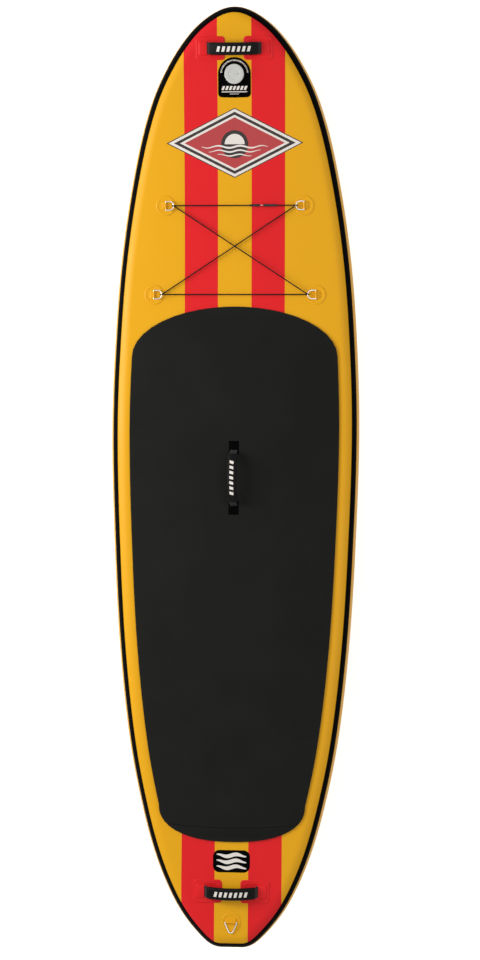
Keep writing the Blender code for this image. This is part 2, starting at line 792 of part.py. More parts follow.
def straighten_tucks(webbing, slot, lean):
    """Lays the strap's tucked ends flat again, and eases the lean in from slot to grip."""
    for vertex in webbing.data.vertices:
        share = (slot - abs(vertex.co.x)) / (slot - GRIP_HALF)
        ease = 1.0 - min(max(share, 0.0), 1.0)
        vertex.co = Matrix.Rotation(-lean * ease, 3, "X") @ vertex.co


END_GRIP = (END_GRIP_RISE, END_GRIP_END_RISE, END_GRIP_WIDTH, END_GRIP_THICKNESS, END_STRAP_WIDTH)
CENTRE_GRIP = (
    CENTRE_GRIP_RISE, CENTRE_GRIP_END_RISE, CENTRE_GRIP_WIDTH, CENTRE_GRIP_THICKNESS, CENTRE_STRAP_WIDTH)


def pad_openings(slot, base):
    """What the pad leaves free for the centre handle: its patches below, its pockets and straps through it."""
    cutters = []
    half = CENTRE_STRAP_WIDTH / 2 + POCKET_WALL + GAP * 3
    middle = slot - PATCH_INSET
    for side in (-1, 1):
        spread = PATCH_WIDTH / 2 + GAP * 3
        low_x, high_x = sorted((side * (middle - spread), side * (middle + spread)))
        reach = PATCH_DEPTH / 2 + GAP * 3
        cutters.append(box(
            f"pad_recess_{side}", (low_x, -reach, -PAD_THICKNESS), (high_x, reach, PATCH_SHEET + GAP * 2),
            "pad_foam", base))
        low_x, high_x = sorted((side * (GRIP_HALF + 0.001), side * (slot + STRAP_TUCK + POCKET_WALL + GAP * 3)))
        cutters.append(box(
            f"pad_slot_{side}", (low_x, -half, -2 * PAD_THICKNESS), (high_x, half, 2 * PAD_THICKNESS),
            "pad_foam", base))
    return [as_cutter(cutter) for cutter in cutters]


# Rings and tabs

TAB_BORE = WIRE / 2 + GAP
BAR_HEIGHT = DRAPE_GAP + PATCH_SHEET + GAP + TAB_SHEET + TAB_BORE


def arc(centre, radius, start, end, steps):
    """Points round a centre from one angle to another, both ends included."""
    points = []
    for i in range(steps + 1):
        turn = start + (end - start) * i / steps
        points.append((centre[0] + radius * math.cos(turn), centre[1] + radius * math.sin(turn)))
    return points


def ring_points(inside, reach, tip_radius):
    """Middle line of a D-ring: its bar on the Y axis, its bow reaching out along X."""
    half = inside / 2 + WIRE / 2
    corner = (RING_CORNER, half - RING_CORNER)
    tip = (reach - tip_radius, 0.0)
    span = math.hypot(tip[0] - corner[0], tip[1] - corner[1])
    heading = math.atan2(tip[1] - corner[1], tip[0] - corner[0])
    square = heading + math.acos((RING_CORNER - tip_radius) / span)
    upper = arc(corner, RING_CORNER, math.pi, square, 3)
    bow = arc(tip, tip_radius, square, -square, 8)
    lower = [(x, -y) for x, y in reversed(upper)]
    return [(x, y, 0.0) for x, y in upper + bow + lower]


def ring_tab(name, inside, parent):
    """A strap folded round the ring's bar, with its foot behind."""
    outside = TAB_BORE + TAB_SHEET
    top = 2 * TAB_SHEET - outside
    meet = math.pi - math.asin(top / outside)
    edge = arc((0.0, 0.0), outside, -math.pi / 2, meet, 9) + [(-TAB_FOOT, top), (-TAB_FOOT, -outside)]
    hole = arc((0.0, 0.0), TAB_BORE / math.cos(math.pi / 10), 0.0, 1.8 * math.pi, 9)
    data = bpy.data.curves.new(name, "CURVE")
    data.dimensions = "2D"
    data.fill_mode = "BOTH"
    data.extrude = inside / 2 + WIRE / 2 - RING_CORNER - GAP
    for loop in (edge, hole):
        spline = data.splines.new("POLY")
        spline.points.add(len(loop) - 1)
        for point, (x, z) in zip(spline.points, loop):
            point.co = (x, z, 0.0, 1.0)
        spline.use_cyclic_u = True
    tab = place(name, data, "yellow_pvc", parent)
    tab.location.z = BAR_HEIGHT
    tab.rotation_euler.x = math.pi / 2
    return tab


def ring_set(name, x, y, turn, tilt, inside, reach, tip_radius):
    """A glued patch, a folded tab and a D-ring that hangs in it. It gives back the ring's pivot."""
    base = frame(name + "_place", x, y, turn=turn)
    low = DRAPE_GAP
    cylinder(name + "_patch", RING_PATCH_RADIUS, low, low + PATCH_SHEET, "yellow_pvc", base, 28)
    ring_tab(name + "_tab", inside, base)
    pivot = bpy.data.objects.new(name + "_pivot", None)
    BOARD.objects.link(pivot)
    pivot.parent = base
    pivot.location.z = BAR_HEIGHT
    pivot.rotation_euler.y = -math.radians(tilt)
    wire(name, ring_points(inside, reach, tip_radius), WIRE, "steel", pivot, cyclic=True)
    bpy.context.view_layer.update()
    return pivot


# Cargo cord

CORD_TURN = (WIRE + CORD) / 2 + GAP


def hairpin(pivot, tip_side):
    """The cord's half turn round a ring's bow, from above to below: tip_side is the way the ring points."""
    tip = pivot.matrix_world @ Vector((RING_REACH, 0.0, 0.0))
    up = pivot.parent.matrix_world.to_3x3() @ Vector((0.0, 0.0, 1.0))
    inward = Vector((-tip_side, 0.0, 0.0))
    steps = 6
    return [
        tip + (up * math.cos(math.pi * i / steps) + inward * math.sin(math.pi * i / steps)) * CORD_TURN
        for i in range(steps + 1)]


def cargo_cord(front_left, front_right, rear_left, rear_right):
    """One elastic cord from sleeve to sleeve: across the front, both diagonals, and across the rear."""
    first = hairpin(front_left, 1)
    second = hairpin(rear_right, -1)
    third = hairpin(rear_left, 1)
    last = hairpin(front_right, -1)[::-1]
    y, z = first[0].y, first[0].z
    start = Vector((SLEEVE_LEFT_X[0] + SLEEVE_BORE_DEPTH - GAP, y, z))
    end = Vector((SLEEVE_RIGHT_X[1] - SLEEVE_BORE_DEPTH + GAP, y, z))
    points = [start, *first, *second, *third, *last, end]
    wire("cargo_cord", points, CORD, "cord", sides_step=2)
    for name, (low, high), turned_round in (
            ("cord_sleeve_left", SLEEVE_LEFT_X, True), ("cord_sleeve_right", SLEEVE_RIGHT_X, False)):
        sleeve = cord_sleeve(name, high - low)
        sleeve.location = ((low + high) / 2, y, z)
        sleeve.rotation_euler.y = math.pi / 2 * (-1 if turned_round else 1)
    low = SLEEVE_LEFT_X[1]
    high = SLEEVE_RIGHT_X[0]
    seat = HOOK_SEAT - GAP
    bump = HOOK_WIRE * 1.2
    middle = (low + high) / 2
    route = [
        (low - seat, y, z), (low + 0.1 * (high - low), y, z), (low + 0.3 * (high - low), y, z + bump * 0.8),
        (middle, y, z + bump), (high - 0.3 * (high - low), y, z + bump * 0.8), (high - 0.1 * (high - low), y, z),
        (high + seat, y, z)]
    wire("cord_hook", route, HOOK_WIRE, "steel", sides_step=2)


def cord_sleeve(name, length):
    """A moulded sleeve with a deep bore for the cord at its upper end and a short one for the hook."""
    outer = SLEEVE_DIAMETER / 2
    cord_bore = CORD / 2 + GAP
    hook_bore = HOOK_WIRE / 2 + GAP
    top, bottom = length / 2, -length / 2
    edge = outer * 0.2
    profile = [
        (0.0, top - SLEEVE_BORE_DEPTH), (cord_bore, top - SLEEVE_BORE_DEPTH), (cord_bore, top),
        (outer - edge, top), (outer, top - edge), (outer, bottom + edge), (outer - edge, bottom),
        (hook_bore, bottom), (hook_bore, bottom + HOOK_SEAT), (0.0, bottom + HOOK_SEAT)]
    return turned(name, profile, "black_plastic", sides=14)


# Inflation valve

FLANGE_LOW = DRAPE_GAP + PATCH_SHEET + 2 * GAP
FLANGE_TOP = FLANGE_LOW + VALVE_FLANGE
VALVE_HOLE = VALVE_NECK_RADIUS + GAP


def valve_patch(hole):
    """The glued patch round the valve: straight sides and rear, a round front."""
    half = VALVE_PATCH_WIDTH / 2
    shoulder = VALVE_PATCH_FRONT_Y - half
    edge = [(half, VALVE_PATCH_REAR_Y + (shoulder - VALVE_PATCH_REAR_Y) * i / 4) for i in range(5)]
    edge += [(half * math.cos(math.radians(a)), shoulder + half * math.sin(math.radians(a))) for a in (22, 43, 62, 78)]
    rings = []
    for reach, y in edge:
        low = THICKNESS + rocker(y) + DRAPE_GAP
        rings.append([(-reach, y, low), (reach, y, low), (reach, y, low + PATCH_SHEET), (-reach, y, low + PATCH_SHEET)])
    return boolean(loft("valve_patch", rings, "black_pvc"), hole)


def valve_body(base):
    """Flanged neck with its seat at the bottom and a spoked hub that guides the stem."""
    low = -VALVE_LENGTH
    body = turned("valve_body", [
        (VALVE_FLANGE_RADIUS, FLANGE_TOP), (VALVE_FLANGE_RADIUS, FLANGE_LOW), (VALVE_NECK_RADIUS, FLANGE_LOW),
        (VALVE_NECK_RADIUS, low), (VALVE_SEAT_RADIUS, low), (VALVE_SEAT_RADIUS, low + VALVE_SEAT),
        (VALVE_BORE_RADIUS, low + VALVE_SEAT), (VALVE_BORE_RADIUS, FLANGE_TOP)], "valve_plastic", base)
    hub_low, hub_top = valve_hub_heights()
    hub = turned("valve_hub", [
        (VALVE_HUB_RADIUS, hub_top), (VALVE_HUB_RADIUS, hub_low), (STEM_RADIUS + GAP, hub_low),
        (STEM_RADIUS + GAP, hub_top)], "valve_plastic", base, 16)
    shape = bmesh.new()
    low_x, high_x = STEM_RADIUS + (VALVE_HUB_RADIUS - STEM_RADIUS) * 0.6, VALVE_BORE_RADIUS + VALVE_SPOKE
    inside = 0.2 * (hub_top - hub_low)
    for i in range(3):
        size = Matrix.Diagonal((high_x - low_x, VALVE_SPOKE, hub_top - hub_low - 2 * inside, 1.0))
        middle = Matrix.Translation(((low_x + high_x) / 2, 0.0, (hub_low + hub_top) / 2))
        bmesh.ops.create_cube(shape, matrix=Matrix.Rotation(2 * math.pi * i / 3, 4, "Z") @ middle @ size)
    spokes = from_bmesh("valve_spokes", shape, "valve_plastic", base)
    boolean(body, as_cutter(spokes), "UNION")
    return boolean(body, as_cutter(hub), "UNION")


def valve_hub_heights():
    low = -VALVE_LENGTH + VALVE_SEAT + VALVE_HUB_LIFT
    return low, low + VALVE_HUB


def valve_stem(base):
    """Button, rod and poppet in one, with the seal on the poppet and the spring under the button."""
    button_top = -STEM_BUTTON_DEPTH
    button_low = button_top - STEM_BUTTON
    seal_top = -VALVE_LENGTH - GAP
    poppet_top = seal_top - SEAL - GAP
    turned("valve_stem", [
        (0.0, button_top), (STEM_BUTTON_RADIUS, button_top), (STEM_BUTTON_RADIUS, button_low),
        (STEM_RADIUS, button_low), (STEM_RADIUS, poppet_top), (POPPET_RADIUS, poppet_top),
        (POPPET_RADIUS, poppet_top - POPPET), (0.0, poppet_top - POPPET)], "valve_plastic", base, 20)
    turned("valve_seal", [
        (POPPET_RADIUS - GAP, seal_top), (POPPET_RADIUS - GAP, seal_top - SEAL),
        (VALVE_SEAT_RADIUS * 0.8, seal_top - SEAL), (VALVE_SEAT_RADIUS * 0.8, seal_top)], "seal_rubber", base, 24)
    low = valve_hub_heights()[1] + GAP + SPRING_WIRE / 2
    high = button_low - GAP - SPRING_WIRE / 2
    radius = (VALVE_HUB_RADIUS + STEM_RADIUS) / 2
    steps = 12
    count = SPRING_TURNS * steps
    points = [
        (radius * math.cos(2 * math.pi * i / steps), radius * math.sin(2 * math.pi * i / steps),
         low + (high - low) * i / count) for i in range(count + 1)]
    wire("valve_spring", points, SPRING_WIRE, "steel", base)


def valve_cap(base):
    """The screw-down cap: a dished lid with a rim, and a plug that carries the cap seal."""
    low = FLANGE_TOP + GAP
    top = low + CAP_HEIGHT
    under = top - CAP_DISH - CAP_WALL
    plug = VALVE_BORE_RADIUS - 2 * GAP
    plug_low = -STEM_BUTTON_DEPTH / 2
    turned("valve_cap", [
        (0.0, top - CAP_DISH), (CAP_DISH_RADIUS, top - CAP_DISH), (CAP_DISH_RADIUS + CAP_DISH, top),
        (CAP_RADIUS - CAP_WALL / 2, top), (CAP_RADIUS, top - CAP_WALL / 2), (CAP_RADIUS, low),
        (CAP_RADIUS - CAP_WALL, low), (CAP_RADIUS - CAP_WALL, under), (plug, under), (plug, plug_low),
        (plug - CAP_WALL, plug_low), (plug - CAP_WALL, under), (0.0, under)], "valve_plastic", base, 40)
    turned("cap_seal", [
        (CAP_SEAL_RADIUS, low + SEAL), (CAP_SEAL_RADIUS, low), (plug + GAP, low), (plug + GAP, low + SEAL)],
        "seal_rubber", base, 24)


def valve(skin_object, core_object):
    base = frame("valve_place", 0.0, VALVE_Y)
    hole = as_cutter(cylinder("valve_hole", VALVE_HOLE, -VALVE_LENGTH, VALVE_LENGTH, "valve_plastic", base, 32))
    boolean(skin_object, hole)
    boolean(core_object, hole)
    valve_patch(hole)
    valve_body(base)
    nut_top = -SKIN - GAP - SHEET - 2 * GAP
    turned("valve_nut", [
        (NUT_RADIUS, nut_top), (NUT_RADIUS, nut_top - NUT_THICKNESS), (VALVE_HOLE, nut_top - NUT_THICKNESS),
        (VALVE_HOLE, nut_top)], "valve_plastic", base, 24)
    valve_stem(base)
    valve_cap(base)


# Fins

FIN_PATCH_LOW = -DRAPE_GAP - PATCH_SHEET
FIN_FLANGE_TOP = FIN_PATCH_LOW - GAP
FIN_BOX_LOW = FIN_FLANGE_TOP - FIN_BOX_DEPTH
FIN_SLOT_TOP = FIN_BOX_LOW + FIN_SLOT_DEPTH
FIN_CHANNEL_LOW = FIN_SLOT_TOP - FIN_CHANNEL_HEIGHT


def bottom_strip(name, y, width, length, high, thickness, material):
    """A sheet under the hull that follows the rocker."""
    steps = 6
    rings = []
    for i in range(steps + 1):
        along = y + length * (i / steps - 0.5)
        top = rocker(along) + high
        half = width / 2
        rings.append([
            (-half, along, top - thickness), (half, along, top - thickness), (half, along, top), (-half, along, top)])
    return loft(name, rings, material)


def fin_box(base):
    flange = bottom_strip("fin_box", FIN_Y, FIN_FLANGE_WIDTH, FIN_FLANGE_LENGTH, FIN_FLANGE_TOP, FIN_FLANGE, "black_plastic")
    half = FIN_BOX_LENGTH / 2
    slot_half = half - FIN_SLOT_END
    track = box(
        "fin_track", (-FIN_BOX_WIDTH / 2, -half, FIN_BOX_LOW),
        (FIN_BOX_WIDTH / 2, half, FIN_FLANGE_TOP - FIN_FLANGE / 2), "black_plastic", base)
    boolean(flange, as_cutter(track), "UNION")
    below = FIN_BOX_LOW - FIN_FLANGE
    neck, wide = FIN_SLOT_WIDTH / 2, FIN_CHANNEL_WIDTH / 2
    section = [
        (-neck, below), (neck, below), (neck, FIN_CHANNEL_LOW), (wide, FIN_CHANNEL_LOW), (wide, FIN_SLOT_TOP),
        (-wide, FIN_SLOT_TOP), (-wide, FIN_CHANNEL_LOW), (-neck, FIN_CHANNEL_LOW)]
    slot = loft("fin_slot", [[(x, y, z) for x, z in section] for y in (-slot_half, slot_half)], "black_plastic", base)
    boolean(flange, as_cutter(slot))
    front = slot_half - GAP
    entry = box(
        "fin_entry", (GAP - wide, front - FIN_ENTRY_LENGTH, below),
        (wide - GAP, front, (FIN_CHANNEL_LOW + FIN_SLOT_TOP) / 2), "black_plastic", base)
    boolean(flange, as_cutter(entry))


def foil(name, low, depth, chord, tip_chord, rake, thickness, front, parent):
    """A fin blade: lens sections that narrow, thin and sweep back towards the tip."""
    rings = []
    for share in FOIL_SHARES:
        length = chord + (tip_chord - chord) * share ** 1.2
        if share == 1.0:
            length *= FOIL_TIP_ROUNDING
        lead = front - rake * share ** 1.5 - (chord - length) * FOIL_SWEEP
        half = thickness / 2 * (1 - FOIL_THINNING * share)
        ring = []
        for side in (1, -1):
            for k in range(6):
                along = k / 6 if side > 0 else 1 - k / 6
                ring.append((side * half * math.sin(math.pi * along) ** 0.8, lead - length * along, low - depth * share))
        rings.append(ring)
    return smooth(loft(name, rings, "black_plastic", parent), 30.0)


def centre_fin(base):
    """The fin with its base in the slot, its pin behind, and its screw and nut plate in front."""
    rear = -FIN_BASE_LENGTH / 2 - FIN_SET_BACK
    front = FIN_BASE_LENGTH / 2 - FIN_SET_BACK
    half = FIN_BASE_THICKNESS / 2
    below = FIN_BOX_LOW - GAP
    fin = foil(
        "centre_fin", below, FIN_DEPTH, FIN_ROOT_CHORD, FIN_TIP_CHORD, FIN_RAKE, FIN_BASE_THICKNESS * 0.96,
        front + (FIN_ROOT_CHORD - FIN_BASE_LENGTH) / 2, base)
    seat = box("fin_base", (-half, rear, below - GAP * 3), (half, front, FIN_SLOT_TOP - GAP), "black_plastic", base)
    tab_top = FIN_CHANNEL_LOW - GAP * 2
    tab = box(
        "fin_tab", (-half * 0.97, front - FIN_SCREW_HEAD, tab_top - FIN_NUT_THICKNESS),
        (half * 0.97, front + FIN_NUT_LENGTH, tab_top), "black_plastic", base)
    boolean(fin, as_cutter(seat), "UNION")
    boolean(fin, as_cutter(tab), "UNION")
    across = Matrix.Rotation(math.pi / 2, 4, "Y")
    pin_height = (FIN_CHANNEL_LOW + FIN_SLOT_TOP) / 2
    pin_y = rear + FIN_PIN_DIAMETER * 1.6
    pin = cylinder(
        "fin_pin", FIN_PIN_DIAMETER / 2, -FIN_PIN_LENGTH / 2, FIN_PIN_LENGTH / 2, "steel", base, 16, across)
    pin.location = (0.0, pin_y, pin_height)
    pin_hole = as_cutter(cylinder(
        "fin_pin_hole", FIN_PIN_DIAMETER / 2 + GAP, -FIN_BOX_WIDTH / 2, FIN_BOX_WIDTH / 2, "steel", base, 16, across))
    pin_hole.location = pin.location
    boolean(fin, pin_hole)
    screw_y = front + FIN_NUT_LENGTH / 2
    screw_hole = as_cutter(cylinder(
        "fin_screw_hole", FIN_SCREW_DIAMETER / 2 + GAP, FIN_BOX_LOW, 0.0, "steel", base, 16))
    screw_hole.location.y = screw_y
    boolean(fin, screw_hole)
    nut_low = FIN_CHANNEL_LOW + GAP
    nut = box(
        "fin_nut_plate", (-FIN_NUT_LENGTH / 2, screw_y - FIN_NUT_WIDTH / 2, nut_low),
        (FIN_NUT_LENGTH / 2, screw_y + FIN_NUT_WIDTH / 2, nut_low + FIN_NUT_THICKNESS), "steel", base)
    boolean(nut, screw_hole)
    head_top = tab_top - FIN_NUT_THICKNESS - GAP
    screw = turned("fin_screw", [
        (0.0, nut_low + FIN_NUT_THICKNESS), (FIN_SCREW_DIAMETER / 2, nut_low + FIN_NUT_THICKNESS),
        (FIN_SCREW_DIAMETER / 2, head_top), (FIN_SCREW_HEAD / 2, head_top),
        (FIN_SCREW_HEAD / 2, head_top - FIN_SCREW_HEAD * 0.25), (FIN_SCREW_HEAD * 0.3, head_top - FIN_SCREW_HEAD * 0.32),
        (0.0, head_top - FIN_SCREW_HEAD * 0.32)], "steel", base, 16)
    screw.location.y = screw_y


def side_fin(name, side):
    """A small bonded fin: a base plate with its blade."""
    base = frame(name + "_place", side * SIDE_FIN_X, SIDE_FIN_Y, below=True)
    high = -DRAPE_GAP - GAP
    blade = foil(
        name, high - SIDE_BASE * 0.6, SIDE_FIN_DEPTH, SIDE_FIN_CHORD, SIDE_FIN_TIP_CHORD, SIDE_FIN_RAKE,
        SIDE_BASE_WIDTH * 0.16, SIDE_FIN_CHORD / 2, base)
    plate = box(
        name + "_base", (-SIDE_BASE_WIDTH / 2, -SIDE_BASE_LENGTH / 2, high - SIDE_BASE),
        (SIDE_BASE_WIDTH / 2, SIDE_BASE_LENGTH / 2, high), "black_plastic", base)
    boolean(blade, as_cutter(plate), "UNION")


def fins():
    base = frame("fin_place", 0.0, FIN_Y, below=True)
    bottom_strip("fin_box_patch", FIN_Y, FIN_PATCH_WIDTH, FIN_PATCH_LENGTH, -DRAPE_GAP, PATCH_SHEET, "black_pvc")
    fin_box(base)
    centre_fin(base)
    side_fin("side_fin_right", 1)
    side_fin("side_fin_left", -1)


deck_skin, core = hull()
pad = deck_pad()
cargo_ring = (CARGO_RING_TILT, RING_INSIDE, RING_REACH, RING_INSIDE / 2 + WIRE / 2)
cargo_cord(
    ring_set("front_ring_left", -FRONT_RING_X, FRONT_RING_Y, 0.0, *cargo_ring),
    ring_set("front_ring_right", FRONT_RING_X, FRONT_RING_Y, 180.0, *cargo_ring),
    ring_set("rear_ring_left", -REAR_RING_X, REAR_RING_Y, 0.0, *cargo_ring),
    ring_set("rear_ring_right", REAR_RING_X, REAR_RING_Y, 180.0, *cargo_ring))
ring_set(
    "tail_ring", 0.0, TAIL_RING_Y, -90.0, TAIL_RING_TILT, TAIL_RING_INSIDE, TAIL_RING_REACH, TAIL_RING_TIP_RADIUS)
valve(deck_skin, core)
fins()
handle("nose_handle", NOSE_HANDLE_Y, END_GRIP, END_GRIP_LEAN, "red_pvc")
handle("tail_handle", TAIL_HANDLE_Y, END_GRIP, END_GRIP_LEAN, "red_pvc")
centre_base, centre_slot = handle("centre_handle", CENTRE_HANDLE_Y, CENTRE_GRIP, CENTRE_GRIP_LEAN, "black_pvc", True)
for opening in pad_openings(centre_slot, centre_base):
    boolean(pad, opening)
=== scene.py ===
"""Looks of an inflatable stand-up paddle board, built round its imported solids.

Lengths are in metres and angles in degrees. +Y points to the nose and +Z up out of the deck,
and the origin is on the flat bottom at mid length.
"""

import math

import bmesh
import bpy
import numpy as np
from mathutils import Matrix, Vector


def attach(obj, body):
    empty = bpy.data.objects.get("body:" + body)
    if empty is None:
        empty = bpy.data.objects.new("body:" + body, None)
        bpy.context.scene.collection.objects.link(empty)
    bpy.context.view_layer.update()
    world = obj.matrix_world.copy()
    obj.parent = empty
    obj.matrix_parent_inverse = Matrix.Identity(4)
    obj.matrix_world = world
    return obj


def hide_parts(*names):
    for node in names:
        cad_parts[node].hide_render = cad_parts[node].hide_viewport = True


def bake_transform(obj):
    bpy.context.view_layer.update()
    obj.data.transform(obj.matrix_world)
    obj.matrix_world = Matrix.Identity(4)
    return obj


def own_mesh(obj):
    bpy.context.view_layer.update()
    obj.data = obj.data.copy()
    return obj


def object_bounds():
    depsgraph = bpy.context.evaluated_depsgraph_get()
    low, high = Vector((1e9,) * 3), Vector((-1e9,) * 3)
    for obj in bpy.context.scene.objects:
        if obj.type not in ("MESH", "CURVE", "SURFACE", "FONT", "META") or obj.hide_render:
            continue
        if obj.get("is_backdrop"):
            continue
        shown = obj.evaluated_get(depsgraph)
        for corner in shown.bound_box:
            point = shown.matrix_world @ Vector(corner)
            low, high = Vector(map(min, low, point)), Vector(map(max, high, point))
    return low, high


bl_info = {
    "name": "Inflatable paddle board",
    "version": (1, 0, 0),
    "blender": (4, 5, 0),
    "location": "3D View > Sidebar > Board",
    "description": "Builds the skins, fittings and studio of an inflatable paddle board",
    "category": "Object",
}

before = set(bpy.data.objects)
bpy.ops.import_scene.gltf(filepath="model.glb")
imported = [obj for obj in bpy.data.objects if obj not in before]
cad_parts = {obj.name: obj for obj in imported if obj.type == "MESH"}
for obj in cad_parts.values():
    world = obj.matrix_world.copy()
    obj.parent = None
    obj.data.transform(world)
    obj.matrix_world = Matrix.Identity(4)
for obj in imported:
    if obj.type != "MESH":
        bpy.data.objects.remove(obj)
CAD_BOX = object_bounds()

# Hull, as in the solids
LENGTH = 3.200
WIDTH = 0.857
THICKNESS = 0.150
RAIL_DEPTH = 0.060
NOSE_RISE, NOSE_RISE_LENGTH, NOSE_RISE_POWER = 0.140, 1.250, 2.2
TAIL_RISE, TAIL_RISE_LENGTH, TAIL_RISE_POWER = 0.035, 0.850, 2.0
PLAN_SHAPE = (
    (0.00, 0.000), (0.05, 0.167), (0.10, 0.348), (0.15, 0.518), (0.20, 0.670), (0.26, 0.800),
    (0.34, 0.924), (0.41, 0.982), (0.47, 1.000), (0.55, 0.972), (0.62, 0.924), (0.69, 0.841),
    (0.75, 0.732), (0.80, 0.621), (0.86, 0.460), (0.92, 0.281), (0.96, 0.182), (1.00, 0.082),
)
STATIONS = 220  # columns of faces from nose to tail on one side
SKIN = 0.0012
GAP = 0.0003
DRAPE_GAP = 0.0005
SEAM_ANGLE = 44.0
DECK_ANGLES = (44.25, 48, 52, 56, 60, 65, 70, 75, 80, 85, 90)
WALL_ANGLES = (43.75, 36, 27, 18, 9, 0, -9, -18, -27, -36, -43.75)
TAPE_ANGLES = (56.5, 50.5, 44.0, 39.5, 34.5)
TAPE_SWELL = 0.55
TAPE = 0.0008

# Deck pad
PAD = 0.005
PAD_MARGIN = 0.070
PAD_FRONT_Y, PAD_SHOULDER_Y, PAD_HEEL_Y, PAD_REAR_Y = 0.596, 0.424, -1.105, -1.229
PAD_HEEL_POWER = 2.3
PAD_ROUND = 0.0015
PAD_SEAM_Y = -1.166
PAD_SEAM_SAG = 0.016
PAD_SEAM_WIDTH = 0.0022

# Carry handles
STRAP = 0.002
STRAP_BEND = 0.004
STRAP_FREE = 0.002
STRAP_DROP_ANGLE = 72.0
STRAP_TUCK = 0.026
PATCH = 0.001
PATCH_WIDTH, PATCH_DEPTH = 0.099, 0.078
PATCH_CORNER = 0.012
PATCH_INSET = 0.0105
PATCH_LAYER = 0.0007
POCKET_WALL = 0.004
POCKET_ROOF = 0.0008
GRIP_HALF = 0.080
GRIP_POWER = 0.6  # 1 is a round section, less is squarer
GRIP_BARS, GRIP_BAR_PITCH, GRIP_BAR = 7, 0.0165, 0.009
STITCH = 0.0008
STITCH_INSET = 0.007  # from the grip's ends to its stitches
NOSE_HANDLE_Y, CENTRE_HANDLE_Y, TAIL_HANDLE_Y = 1.452, 0.012, -1.396
# Rise, rise at the ends, width, thickness, strap width and lean of each kind of grip
END_GRIP = (0.034, 0.018, 0.041, 0.014, 0.038, 8.0)
CENTRE_GRIP = (0.050, 0.031, 0.031, 0.022, 0.025, -5.0)

# Rings, tabs and cargo cord
WIRE = 0.004
RING_PATCH_RADIUS = 0.034
RING_CORNER = 0.0025
TAB = 0.0014
TAB_FOOT = 0.013
TAB_BORE = WIRE / 2 + GAP
BAR_HEIGHT = DRAPE_GAP + PATCH + GAP + TAB + TAB_BORE
# Inside width, reach, tip radius and tilt of each kind of ring
CARGO_RING = (0.025, 0.0285, 0.0145, 12.0)
TAIL_RING = (0.036, 0.035, 0.009, -2.4)
RING_PLACES = {
    "front_ring_left": (-0.236, 0.937, 0.0, "ring_front_left"),
    "front_ring_right": (0.236, 0.937, 180.0, "ring_front_right"),
    "rear_ring_left": (-0.277, 0.637, 0.0, "ring_rear_left"),
    "rear_ring_right": (0.277, 0.637, 180.0, "ring_rear_right"),
    "tail_ring": (0.0, -1.499, -90.0, "ring_tail"),
}
CORD = 0.004
CORD_TURN = (WIRE + CORD) / 2 + GAP
CORD_BEND = 0.045  # length of a strand's closely spaced stretch next to its ring
SLEEVE_DIAMETER = 0.009
SLEEVE_BORE_DEPTH = 0.016
SLEEVE_LEFT_X, SLEEVE_RIGHT_X = (0.052, 0.086), (0.098, 0.147)
HOOK_WIRE = 0.0025
HOOK_SEAT = 0.008

# Inflation valve
VALVE_Y = 1.3688
VALVE_PATCH_WIDTH = 0.110
VALVE_PATCH_REAR_Y, VALVE_PATCH_FRONT_Y = 1.2927, 1.4238
VALVE_PATCH_CORNER = 0.013
VALVE_PRINT, VALVE_PRINT_GAP = 0.0002, 0.00005
TICKS, TICK_START, TICK_SPAN = 31, 8, 164
TICK_NEAR, TICK_FAR, TICK_HALF, FIFTH_TICK_HALF = 0.0425, 0.0475, 0.0011, 0.0018
VALVE_FLANGE_RADIUS, VALVE_FLANGE = 0.0315, 0.0020
VALVE_NECK_RADIUS, VALVE_BORE_RADIUS, VALVE_LENGTH = 0.0230, 0.0150, 0.0280
VALVE_SEAT_RADIUS, VALVE_SEAT = 0.0105, 0.0030
VALVE_HUB_RADIUS, VALVE_HUB, VALVE_HUB_LIFT, VALVE_SPOKE = 0.0052, 0.0040, 0.0050, 0.0024
STEM_RADIUS, STEM_BUTTON_RADIUS, STEM_BUTTON, STEM_BUTTON_DEPTH = 0.0026, 0.0072, 0.0022, 0.0030
POPPET_RADIUS, POPPET, SEAL = 0.0135, 0.0018, 0.0016
SPRING_WIRE, SPRING_TURNS, STEM_TRAVEL = 0.0009, 5, 0.005
CAP_RADIUS, CAP_HEIGHT, CAP_WALL = 0.0325, 0.0130, 0.0022
CAP_DISH, CAP_DISH_RADIUS, CAP_SEAL_RADIUS = 0.0012, 0.0180, 0.0190
NUT_RADIUS, NUT = 0.0300, 0.0060
SHEET = 0.0012
FLANGE_LOW = DRAPE_GAP + PATCH + 2 * GAP
FLANGE_TOP = FLANGE_LOW + VALVE_FLANGE

# Fins
FIN_Y = -1.250
FIN_BOX_DEPTH = 0.0225
FIN_SET_BACK = 0.015  # how far the fin's middle sits behind the box's
FIN_BASE_LENGTH, FIN_BASE_THICKNESS = 0.150, 0.0092
FIN_NUT_LENGTH = 0.016
FIN_SLOT_DEPTH, FIN_CHANNEL_HEIGHT = 0.0180, 0.006
FIN_NUT_THICKNESS = 0.003
FIN_SCREW_HEAD, FIN_SCREW_DIAMETER = 0.008, 0.004
FIN_FLANGE_TOP = -DRAPE_GAP - PATCH - GAP
FIN_BOX_LOW = FIN_FLANGE_TOP - FIN_BOX_DEPTH
